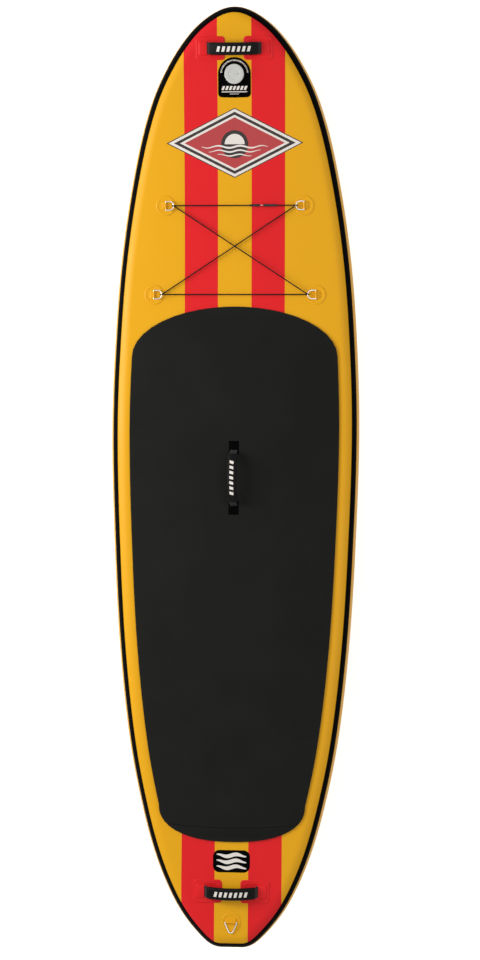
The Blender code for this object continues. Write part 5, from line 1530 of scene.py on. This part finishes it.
class BOARD_OT_cord(bpy.types.Operator):
    """The elastic cargo cord round the four cargo rings, its two end sleeves and their hook"""

    bl_idname = "board.cord"
    bl_label = "Cargo cord"

    def execute(self, context):
        first, second = hairpin("front_ring_left", 1), hairpin("rear_ring_right", -1)
        third, last = hairpin("rear_ring_left", 1), hairpin("front_ring_right", -1)[::-1]
        y, z = first[0].y, first[0].z
        start = Vector((SLEEVE_LEFT_X[0] + SLEEVE_BORE_DEPTH - GAP, y, z))
        end = Vector((SLEEVE_RIGHT_X[1] - SLEEVE_BORE_DEPTH + GAP, y, z))
        turns = [first, second, third, last]
        middles = [start, *((a[-1] + b[0]) / 2 for a, b in zip(turns, turns[1:])), end]
        names = ("front_ring_left", "rear_ring_right", "rear_ring_left", "front_ring_right")
        for i, (name, turn) in enumerate(zip(names, turns)):
            points = [*strand(middles[i], turn[0]), *turn, *strand(middles[i + 1], turn[-1])[::-1]]
            piece = tube(f"cord_{name}", points, CORD, finish("cord_braid"), 12)
            inward = -1.0 if turn[0].x > 0 else 1.0
            near = turn[0] + Vector((inward * 0.006, 0.0, 0.0))
            far = near + Vector((inward * CORD_BEND, 0.0, 0.0))
            dress_bending(piece, RING_PLACES[name][3], "cord", far, near, "cargo_cord")
        left = end_sleeve("sleeve_left", *SLEEVE_LEFT_X, 1, y, z)
        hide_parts("cord_sleeve_left")
        right = end_sleeve("sleeve_right", *SLEEVE_RIGHT_X, -1, y, z)
        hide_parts("cord_sleeve_right")
        low, high = SLEEVE_LEFT_X[1] - HOOK_SEAT + GAP, SLEEVE_RIGHT_X[0] + HOOK_SEAT - GAP
        route = []
        for i in range(29):
            share = i / 28
            x = low + (high - low) * share
            inside = min(max((x - SLEEVE_LEFT_X[1]) / (SLEEVE_RIGHT_X[0] - SLEEVE_LEFT_X[1]), 0.0), 1.0)
            route.append((x, y, z + HOOK_WIRE * 1.2 * math.sin(math.pi * inside) ** 2))
        hook = tube("wire_hook", route, HOOK_WIRE, finish("ring_steel"), 12)
        dress(hook, "board", "steel", "cord_hook")
        return {"FINISHED"}


# Inflation valve

def rounded(profile, radii):
    """A profile with some of its corners rounded: radii maps the corner's number to its radius."""
    for index in sorted(radii, reverse=True):
        profile = round_corner(profile, index, radii[index])
    return profile


def seal_ring(name, outer, inner, top, sides, place):
    """A flat rubber ring with its outer corners rounded."""
    profile = [(outer, top), (outer, top - SEAL), (inner, top - SEAL), (inner, top)]
    return turned(name, rounded(profile, {0: 0.0004, 1: 0.0004}), sides, place, finish("seal_rubber"))


def valve_patch_outline():
    half = VALVE_PATCH_WIDTH / 2
    shoulder = VALVE_PATCH_FRONT_Y - half - VALVE_Y
    rear = VALVE_PATCH_REAR_Y - VALVE_Y
    points = arc((0.0, shoulder), half, 0.0, math.pi, 28)
    reach, corner = half - VALVE_PATCH_CORNER, rear + VALVE_PATCH_CORNER
    points += arc((-reach, corner), VALVE_PATCH_CORNER, math.pi, math.pi * 1.5, 8)
    points += [(0.0, rear - 0.0012)]
    points += arc((reach, corner), VALVE_PATCH_CORNER, math.pi * 1.5, math.pi * 2.0, 8)
    return densified(points)


def valve_marks():
    """The print round the valve, on its patch: ticks above it, slanted bars and two lines below."""
    place = frame_at(0.0, VALVE_Y)
    pieces = []
    for i in range(TICKS):
        turn = math.radians(TICK_START + TICK_SPAN * i / (TICKS - 1))
        way, side = Vector((math.cos(turn), math.sin(turn))), Vector((-math.sin(turn), math.cos(turn)))
        wide = side * (TICK_HALF if i % 5 else FIFTH_TICK_HALF)
        near, far = way * TICK_NEAR, way * TICK_FAR
        pieces.append(straight_film(place, [near - wide, far - wide, far + wide, near + wide]))
    bars = [((i - 3) * 0.0125, -0.0460, 0.0040, 0.0065) for i in range(7)]  # place, half width, half height
    for x, y, half, thick in (*bars, (0.0, -0.0585, 0.0430, 0.0014), (0.0, -0.0655, 0.0150, 0.0008)):
        lean = thick * 0.4
        corners = [Vector(p) for p in ((x - half - lean, y - thick), (x + half - lean, y - thick),
                                       (x + half + lean, y + thick), (x - half + lean, y + thick))]
        pieces.append(straight_film(place, corners))
    return pieces


def straight_film(place, corners):
    """A print with straight edges on the valve's patch, as a closed shape."""
    low = DRAPE_GAP + PATCH + VALVE_PRINT_GAP
    shape = bmesh.new()
    points = [place @ Vector((c[0], c[1], 0.0)) for c in corners]
    heights = deck_heights(np.array([p.x for p in points]), np.array([p.y for p in points]))
    rings = []
    for lift in (low, low + VALVE_PRINT):
        rings.append([shape.verts.new((p.x, p.y, float(h) + lift)) for p, h in zip(points, heights)])
    shape.faces.new(rings[0])
    shape.faces.new(rings[1])
    for k in range(len(corners)):
        j = (k + 1) % len(corners)
        shape.faces.new((rings[0][k], rings[0][j], rings[1][j], rings[1][k]))
    return shape


def gathered(name, shapes, material):
    """Several small closed shapes as one object."""
    whole = bmesh.new()
    for shape in shapes:
        bmesh.ops.recalc_face_normals(shape, faces=shape.faces)
        data = bpy.data.meshes.new("part")
        shape.to_mesh(data)
        shape.free()
        whole.from_mesh(data)
        bpy.data.meshes.remove(data)
    return new_object(name, whole, material, merge=0.0, turn_out=False)


class BOARD_OT_valve(bpy.types.Operator):
    """The valve's patch, body, nut, stem, seals, spring and cap"""

    bl_idname = "board.valve"
    bl_label = "Inflation valve"

    def execute(self, context):
        place = frame_at(0.0, VALVE_Y)
        patch = draped_patch(
            "valve_glued_patch", valve_patch_outline(), VALVE_RELIEF, place, finish("coated_black"))
        dress(cut(patch, valve_hole(-0.01, 0.01)), "board", "black_pvc", "valve_patch")
        dress(gathered("valve_patch_print", valve_marks(), finish("pale_ink")), "board", "black_pvc")
        self.body(place)
        self.stem(place)
        self.cap(place)
        return {"FINISHED"}

    def body(self, place):
        low, hole = -VALVE_LENGTH, VALVE_NECK_RADIUS + GAP
        profile = [
            (VALVE_FLANGE_RADIUS, FLANGE_TOP), (VALVE_FLANGE_RADIUS, FLANGE_LOW),
            (VALVE_NECK_RADIUS, FLANGE_LOW), (VALVE_NECK_RADIUS, low), (VALVE_SEAT_RADIUS, low),
            (VALVE_SEAT_RADIUS, low + VALVE_SEAT), (VALVE_BORE_RADIUS, low + VALVE_SEAT),
            (VALVE_BORE_RADIUS, FLANGE_TOP)]
        profile = rounded(profile, {0: 0.0007, 3: 0.0010, 7: 0.0006})
        neck = turned("valve_neck", profile, 72, place, finish("valve_shell"))
        hub_low = low + VALVE_SEAT + VALVE_HUB_LIFT
        hub_top = hub_low + VALVE_HUB
        hub = turned("hub", [
            (VALVE_HUB_RADIUS, hub_top), (VALVE_HUB_RADIUS, hub_low), (STEM_RADIUS + GAP, hub_low),
            (STEM_RADIUS + GAP, hub_top)], 40, place, finish("valve_shell"))
        inside = 0.2 * VALVE_HUB
        parts = [neck, hub]
        for i in range(3):
            turn = place @ Matrix.Rotation(2 * math.pi * i / 3, 4, "Z")
            near, far = VALVE_HUB_RADIUS - 0.0008, VALVE_BORE_RADIUS + 0.0008
            spoke = block("spoke", (near, -VALVE_SPOKE / 2, hub_low + inside),
                          (far, VALVE_SPOKE / 2, hub_top - inside), turn, "valve_shell")
            parts.append(bevel(spoke, 0.0004, 2))
        dress(joined("valve_moulded_body", parts), "board", "valve_plastic", "valve_body")
        nut_top = -SKIN - GAP - SHEET - 2 * GAP
        profile = [(NUT_RADIUS, nut_top), (NUT_RADIUS, nut_top - NUT), (hole, nut_top - NUT), (hole, nut_top)]
        ring = turned("ring", rounded(profile, {1: 0.0010, 2: 0.0006}), 72, place, finish("valve_shell"))
        ribs = grown("ribs", "ring_of_ribs", line_mesh("ribs"), raised(place, nut_top - NUT / 2),
                     radius=NUT_RADIUS - 0.0008, count=24, rib=(0.0018, 0.0030, NUT * 0.7),
                     material=finish("valve_shell"))
        dress(joined("valve_clamping_nut", [ring, ribs]), "board", "valve_plastic", "valve_nut")

    def stem(self, place):
        button_top = -STEM_BUTTON_DEPTH
        button_low = button_top - STEM_BUTTON
        seal_top = -VALVE_LENGTH - GAP
        poppet_top = seal_top - SEAL - GAP
        profile = [
            (0.0, button_top - 0.0006), (STEM_BUTTON_RADIUS * 0.6, button_top),
            (STEM_BUTTON_RADIUS, button_top), (STEM_BUTTON_RADIUS, button_low),
            (STEM_RADIUS, button_low), (STEM_RADIUS, poppet_top), (POPPET_RADIUS, poppet_top),
            (POPPET_RADIUS, poppet_top - POPPET), (0.0, poppet_top - POPPET)]
        profile = rounded(profile, {2: 0.0006, 7: 0.0005})
        stem = turned("valve_push_stem", profile, 48, place, finish("valve_shell"))
        dress(stem, "stem", "valve_plastic", "valve_stem")
        outer, inner = POPPET_RADIUS - GAP, VALVE_SEAT_RADIUS * 0.8
        seal = seal_ring("poppet_seal", outer, inner, seal_top, 56, place)
        dress(seal, "stem", "seal_rubber", "valve_seal")
        low = -VALVE_LENGTH + VALVE_SEAT + VALVE_HUB_LIFT + VALVE_HUB + GAP + SPRING_WIRE / 2
        high = button_low - GAP - SPRING_WIRE / 2
        radius = (VALVE_HUB_RADIUS + STEM_RADIUS) / 2
        count = SPRING_TURNS * 28
        points = []
        for i in range(count + 1):
            turn = 2 * math.pi * i / 28
            rise = low + (high - low) * i / count
            points.append(place @ Vector((radius * math.cos(turn), radius * math.sin(turn), rise)))
        spring = tube("return_spring", points, SPRING_WIRE, finish("ring_steel"), 10)
        dress(spring, "stem", "steel", "valve_spring")
        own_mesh(spring)

    def cap(self, place):
        low = FLANGE_TOP + GAP
        top = low + CAP_HEIGHT
        under = top - CAP_DISH - CAP_WALL
        plug, plug_low = VALVE_BORE_RADIUS - 2 * GAP, -STEM_BUTTON_DEPTH / 2
        profile = [
            (0.0, top - CAP_DISH), (CAP_DISH_RADIUS, top - CAP_DISH), (CAP_DISH_RADIUS + CAP_DISH, top),
            (CAP_RADIUS, top), (CAP_RADIUS, low), (CAP_RADIUS - CAP_WALL, low),
            (CAP_RADIUS - CAP_WALL, under), (plug, under), (plug, plug_low), (plug - CAP_WALL, plug_low),
            (plug - CAP_WALL, under), (0.0, under)]
        profile = rounded(profile, {2: 0.0010, 3: 0.0016, 4: 0.0004, 8: 0.0006})
        lid_part = turned("lid", profile, 96, place, finish("valve_shell"))
        ribs = grown("ribs", "ring_of_ribs", line_mesh("ribs"), raised(place, low + CAP_HEIGHT * 0.45),
                     radius=CAP_RADIUS - 0.0002, count=60, rib=(0.0010, 0.0016, CAP_HEIGHT * 0.62),
                     material=finish("valve_shell"))
        bar = block("bar", (-CAP_DISH_RADIUS * 0.86, -0.0022, top - CAP_DISH - 0.0002),
                    (CAP_DISH_RADIUS * 0.86, 0.0022, top - 0.0001), place, "valve_shell")
        cap = joined("valve_screw_cap", [lid_part, ribs, bevel(bar, 0.0004, 2)])
        dress(cap, "cap_turn", "valve_plastic", "valve_cap")
        seal = seal_ring("cap_seal_ring", CAP_SEAL_RADIUS, plug + GAP, low + SEAL, 72, place)
        dress(seal, "cap_lift", "seal_rubber", "cap_seal")


# Fins

def foil(name, low, blade, front, place):
    """A fin blade: lens sections that narrow, thin and sweep back towards a rounded tip."""
    depth, chord, tip_chord, rake, thickness = blade
    rings = []
    for i in range(FOIL_STEPS + 1):
        share = min(1.0, math.sin(math.pi / 2 * i / FOIL_STEPS))
        length = chord + (tip_chord - chord) * share ** 1.2
        tip = min(1.0, max(0.0, (share - FOIL_TIP_START) / FOIL_TIP))
        length *= 1.0 - (1.0 - FOIL_TIP_ROUNDING) * (1.0 - math.sqrt(1.0 - tip ** 2))
        lead = front - rake * share ** 1.5 - (chord - length) * FOIL_SWEEP
        half = thickness / 2 * (1 - FOIL_THINNING * share) * (1.0 - 0.7 * tip ** 3)
        ring = []
        for side in (1, -1):
            for k in range(FOIL_SIDE):
                way = 0.5 - 0.5 * math.cos(math.pi * k / FOIL_SIDE)
                along = way if side > 0 else 1 - way
                across = side * half * math.sin(math.pi * along) ** 0.8
                ring.append(place @ Vector((across, lead - length * along, low - depth * share)))
        rings.append(ring)
    shape = bmesh.new()
    sweep(shape, rings)
    return new_object(name, shape, finish("black_moulding"), sharp=50.0)


class BOARD_OT_fins(bpy.types.Operator):
    """The centre fin with its screw, the two side fins, and the finish of the fin box and its small parts"""

    bl_idname = "board.fins"
    bl_label = "Fins"

    def execute(self, context):
        place = frame_at(0.0, FIN_Y, below=True)
        front = FIN_BASE_LENGTH / 2 - FIN_SET_BACK
        rear = -FIN_BASE_LENGTH / 2 - FIN_SET_BACK
        half = FIN_BASE_THICKNESS / 2
        below = FIN_BOX_LOW - GAP
        slot_top = FIN_BOX_LOW + FIN_SLOT_DEPTH
        channel_low = slot_top - FIN_CHANNEL_HEIGHT
        blade = foil("blade", below, CENTRE_BLADE, front + (CENTRE_BLADE[1] - FIN_BASE_LENGTH) / 2, place)
        seat = block("seat", (-half, rear, below - GAP * 3), (half, front, slot_top - GAP), place,
                     "black_moulding")
        tab_top = channel_low - GAP * 2
        tab = block("tab", (-half * 0.97, front - FIN_SCREW_HEAD, tab_top - FIN_NUT_THICKNESS),
                    (half * 0.97, front + FIN_NUT_LENGTH, tab_top), place, "black_moulding")
        fin = joined("centre_fin_blade", [blade, bevel(seat, 0.0008, 2), bevel(tab, 0.0005, 2)])
        dress(fin, "fin", "black_plastic", "centre_fin")
        head_top = tab_top - FIN_NUT_THICKNESS - GAP
        screw_place = place @ Matrix.Translation((0.0, front + FIN_NUT_LENGTH / 2, 0.0))
        nut_top = channel_low + GAP + FIN_NUT_THICKNESS
        shank, head = FIN_SCREW_DIAMETER / 2, FIN_SCREW_HEAD / 2
        profile = [(0.0, nut_top), (shank - 0.0004, nut_top), (shank, nut_top - 0.0004)]
        threads = 14
        for i in range(threads):
            at = nut_top - 0.0004 + (head_top - nut_top + 0.001) * i / threads
            profile += [(shank, at - 0.0001), (shank - 0.0003, at - 0.0004)]
        profile += [(shank, head_top), (head, head_top), (head, head_top - FIN_SCREW_HEAD * 0.25),
                    (head * 0.7, head_top - FIN_SCREW_HEAD * 0.32), (0.0, head_top - FIN_SCREW_HEAD * 0.32)]
        profile = [point for i, point in enumerate(profile) if not i or point[1] <= profile[i - 1][1]]
        screw = turned("screw", profile, 40, screw_place, finish("ring_steel"))
        knurl = grown("knurl", "ring_of_ribs", line_mesh("knurl"),
                      raised(screw_place, head_top - FIN_SCREW_HEAD * 0.125), radius=head - 0.0001,
                      count=26, rib=(0.0003, 0.0006, FIN_SCREW_HEAD * 0.22), material=finish("ring_steel"))
        dress(joined("fin_thumb_screw", [screw, knurl]), "screw", "steel", "fin_screw")
        for side, word in ((1, "right"), (-1, "left")):
            self.side_fin(side, word)
        for node, material in (("fin_box", "black_moulding"), ("fin_box_patch", "coated_black"),
                               ("fin_pin", "ring_steel"), ("fin_nut_plate", "ring_steel")):
            data = bpy.data.objects[node].data
            data.materials.clear()
            data.materials.append(finish(material))
        return {"FINISHED"}

    def side_fin(self, side, word):
        place = frame_at(side * SIDE_FIN_X, SIDE_FIN_Y, below=True)
        high = -DRAPE_GAP - GAP
        blade = foil("blade", high - SIDE_BASE * 0.6, SIDE_BLADE, SIDE_BLADE[1] / 2, place)
        outline_points = rounded_outline(SIDE_BASE_WIDTH, SIDE_BASE_LENGTH, SIDE_BASE_CORNER)
        rings = []
        for share, down in ((0.90, 1.0), (0.97, 0.75), (1.0, 0.3), (1.0, 0.0)):
            height = high - SIDE_BASE * down
            rings.append([place @ Vector((x * share, y * share, height)) for x, y in outline_points])
        shape = bmesh.new()
        sweep(shape, rings)
        plate = new_object("plate", shape, finish("black_moulding"), sharp=50.0)
        dress(joined(f"side_fin_blade_{word}", [blade, plate]), "board", "black_plastic", f"side_fin_{word}")


# Printed marks

def deck_film(name, columns, low, material, rows):
    """A printed film on the deck: each column gives x and the y of its two ends."""
    grids = [[], []]
    for x, start, end in columns:
        ys = np.linspace(start, end, rows + 1)
        heights = deck_heights(np.full(rows + 1, x), ys)
        for grid, lift in zip(grids, (low + PRINT, low)):
            grid.append([(x, float(y), float(h) + lift) for y, h in zip(ys, heights)])
    return new_object(name, grid_solid(*grids), finish(material))


def rhombus_columns(y, half_width, half_height, steps=40):
    """A rhombus with its corners on the two axes."""
    out = []
    for i in range(steps + 1):
        share = 2 * i / steps - 1
        high = max(half_height * (1.0 - abs(share)), FLAT)
        out.append((half_width * share, y - high, y + high))
    return out


def disc_columns(y, radius, lower=1.0, steps=36):
    """A disc, or with lower 0 its upper half."""
    out = []
    for i in range(steps + 1):
        x = -radius * math.cos(math.pi * i / steps)
        high = max(math.sqrt(max(radius ** 2 - x * x, 0.0)), FLAT)
        out.append((x, y - high * lower, y + high))
    return out


def wave_columns(y, half, height, crests, thick, steps=72):
    """A wavy ribbon, thin at its ends."""
    out = []
    for i in range(steps + 1):
        x = half * (2 * i / steps - 1)
        swell = height * math.sin(math.pi * crests * x / half)
        wide = thick * (0.25 + 0.75 * math.cos(math.pi / 2 * x / half)) / 2
        out.append((x, y + swell - wide, y + swell + wide))
    return out


class BOARD_OT_badge(bpy.types.Operator):
    """A plain rhombus with a rising sun over waves on the nose, and a dark tile with waves near the tail"""

    bl_idname = "board.badge"
    bl_label = "Printed marks"

    def execute(self, context):
        width, height = size("badge_width") / 2, size("badge_height") / 2
        slant = math.hypot(width, height)
        for i, (material, inset) in enumerate(BADGE_LAYERS):
            columns = rhombus_columns(BADGE_Y, width - inset * slant / height, height - inset * slant / width)
            self.film(f"badge_layer_{i + 1}", columns, PRINT_GAP + PRINT_STEP * i, material)
        low = PRINT_GAP + PRINT_STEP * len(BADGE_LAYERS)
        middle = BADGE_Y - BADGE_DISC_DROP
        self.film("badge_disc", disc_columns(middle, BADGE_DISC_RADIUS), low, "dark_ink")
        low += PRINT_STEP
        self.film("badge_sun", disc_columns(middle, BADGE_SUN_RADIUS, lower=0.0), low, "pale_ink")
        for i, (drop, *wave) in enumerate(BADGE_WAVES):
            self.film(f"badge_wave_{i + 1}", wave_columns(BADGE_Y + drop, *wave), low, "pale_ink", 3)
        self.tile()
        return {"FINISHED"}

    def tile(self):
        half, high = size("tile_width") / 2, size("tile_height") / 2
        columns = []
        for i in range(61):
            x = half * math.sin(math.pi / 2 * (i / 30 - 1))
            drop = max(abs(x) - (half - TILE_CORNER), 0.0)
            edge = high - (TILE_CORNER - math.sqrt(max(TILE_CORNER ** 2 - drop ** 2, 0.0)))
            columns.append((x, TILE_Y - max(edge, FLAT), TILE_Y + max(edge, FLAT)))
        self.film("tail_tile", columns, PRINT_GAP, "coated_black")
        for i, drop in enumerate(TILE_WAVE_DROPS):
            columns = wave_columns(
                TILE_Y + drop, half * TILE_WAVE_SHARE, TILE_WAVE_SWELL, TILE_WAVE_CRESTS, TILE_WAVE)
            self.film(f"tail_tile_wave_{i + 1}", columns, PRINT_GAP + PRINT_STEP, "pale_ink", 3)

    def film(self, name, columns, low, material, rows=8):
        dress(deck_film(name, columns, low, material, rows), "board", "yellow_pvc")


# Studio

def seen_directly(tree, path):
    """1 for what the camera sees, straight, in a reflection or through a clear part."""
    rays = [path.outputs[f"Is {kind} Ray"] for kind in ("Camera", "Glossy", "Transmission")]
    return maths(tree, "MAXIMUM", maths(tree, "MAXIMUM", rays[0], rays[1]), rays[2])


def floor_material():
    """A pale floor that keeps the board's shadow, and is see-through from below."""
    material = bpy.data.materials.new("studio_floor")
    material.use_nodes = True
    tree = material.node_tree
    shader = tree.nodes["Principled BSDF"]
    shader.inputs["Base Color"].default_value = (*bpy.context.scene.board_studio.floor, 1.0)
    shader.inputs["Roughness"].default_value = 1.0
    shader.inputs["Specular IOR Level"].default_value = 0.0
    lift = add_node(tree, "ShaderNodeEmission", {"Color": (1.0, 1.0, 1.0, 1.0), "Strength": 1.0})
    path = add_node(tree, "ShaderNodeLightPath")
    share = maths(tree, "MULTIPLY", seen_directly(tree, path), FLOOR_LIFT)
    lit = add_node(tree, "ShaderNodeAddShader", {0: shader.outputs[0]})
    weak = add_node(tree, "ShaderNodeMixShader", {0: share})
    tree.links.new(lift.outputs[0], weak.inputs[2])
    tree.links.new(weak.outputs[0], lit.inputs[1])
    clear = add_node(tree, "ShaderNodeBsdfTransparent")
    back = add_node(tree, "ShaderNodeNewGeometry").outputs["Backfacing"]
    open_to = maths(tree, "MAXIMUM", back, path.outputs["Is Diffuse Ray"])
    sides = add_node(tree, "ShaderNodeMixShader", {0: open_to, 1: lit.outputs[0], 2: clear.outputs[0]})
    tree.links.new(sides.outputs[0], tree.nodes["Material Output"].inputs["Surface"])
    return material


def studio_floor():
    """A flat floor under the hull's forefoot and the centre fin's tip."""
    front = Vector((0.0, FLOOR_TOUCH_Y, float(rocker(FLOOR_TOUCH_Y)) - FLOOR_CLEARANCE))
    rear = Vector((0.0, FLOOR_FIN_Y, FLOOR_FIN_Z))
    along = (front - rear).normalized()
    middle = (front + rear) / 2
    shape = bmesh.new()
    corners = []
    for x, y in ((-1, -1), (1, -1), (1, 1), (-1, 1)):
        corners.append(shape.verts.new(middle + along * y * FLOOR_HALF + Vector((x * FLOOR_HALF, 0.0, 0.0))))
    shape.faces.new(corners)
    floor = new_object("studio_floor_plane", shape, floor_material(), turn_out=False)
    floor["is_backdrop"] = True


def studio_world():
    """White for the camera and in reflections, and a plain soft level of light for the rest."""
    world = bpy.data.worlds.new("studio_world")
    bpy.context.scene.world = world
    world.use_nodes = True
    tree = world.node_tree
    background = tree.nodes["Background"]
    path = add_node(tree, "ShaderNodeLightPath")
    level = bpy.context.scene.board_studio.world_level
    strength = maths(tree, "MULTIPLY", seen_directly(tree, path), 1.0 - level)
    background.inputs["Color"].default_value = (1.0, 1.0, 1.0, 1.0)
    tree.links.new(maths(tree, "ADD", strength, level), background.inputs["Strength"])


def area_lamp(name, place, aim, width, height, share):
    """A soft lamp that gives a share of the key's power."""
    data = bpy.data.lights.new(name, "AREA")
    data.shape = "RECTANGLE"
    data.size, data.size_y = width, height
    data.energy = bpy.context.scene.board_studio.key_power * share
    lamp = bpy.data.objects.new(name, data)
    bpy.context.scene.collection.objects.link(lamp)
    lamp.location = place
    lamp.rotation_euler = (Vector(aim) - Vector(place)).to_track_quat("-Z", "Y").to_euler()


class BOARD_OT_studio(bpy.types.Operator):
    """Floor, world, lamps and the camera above the board, a little to its right"""

    bl_idname = "board.studio"
    bl_label = "Studio"

    def execute(self, context):
        studio_floor()
        studio_world()
        area_lamp("key", *KEY_LAMP)
        area_lamp("fill", *FILL_LAMP)
        data = bpy.data.cameras.new("photo_camera")
        data.sensor_width = CAMERA_SENSOR
        data.lens = CAMERA_LENS
        camera = bpy.data.objects.new("photo_camera", data)
        context.scene.collection.objects.link(camera)
        camera.location = CAMERA_PLACE
        camera.rotation_euler = CAMERA_TURN
        context.scene.camera = camera
        context.scene.view_settings.view_transform = "Standard"
        return {"FINISHED"}


OPERATORS = (
    BOARD_OT_studio, BOARD_OT_cord, BOARD_OT_hull, BOARD_OT_core, BOARD_OT_pad, BOARD_OT_handles,
    BOARD_OT_rings, BOARD_OT_valve, BOARD_OT_fins, BOARD_OT_badge)


class BOARD_PT_panel(bpy.types.Panel):
    """The board's sizes, colours and building steps"""

    bl_idname = "BOARD_PT_panel"
    bl_label = "Paddle board"
    bl_space_type = "VIEW_3D"
    bl_region_type = "UI"
    bl_category = "Board"

    def draw(self, context):
        for group in (context.scene.board_sizes, context.scene.board_colours, context.scene.board_studio):
            column = self.layout.column()
            for name in group.__annotations__:
                column.prop(group, name)
        column = self.layout.column(align=True)
        for operator in OPERATORS:
            column.operator(operator.bl_idname)


CLASSES = (BoardColours, BoardSizes, StudioSettings, *OPERATORS, BOARD_PT_panel)
SETTINGS = {"board_colours": BoardColours, "board_sizes": BoardSizes, "board_studio": StudioSettings}


def register():
    for kind in CLASSES:
        bpy.utils.register_class(kind)
    for name, kind in SETTINGS.items():
        setattr(bpy.types.Scene, name, bpy.props.PointerProperty(type=kind))


def unregister():
    for name in SETTINGS:
        delattr(bpy.types.Scene, name)
    for kind in reversed(CLASSES):
        bpy.utils.unregister_class(kind)


def main():
    """Builds every piece in order and works out the sizes of the solids and of the dressed board."""
    register()
    for operator in OPERATORS:
        getattr(bpy.ops.board, operator.bl_idname.split(".")[1])()
    boxes = {"cad": CAD_BOX, "visual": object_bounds()}
    {key: [[float(v) for v in corner] for corner in box] for key, box in boxes.items()}


if __name__ == "__main__":
    main()
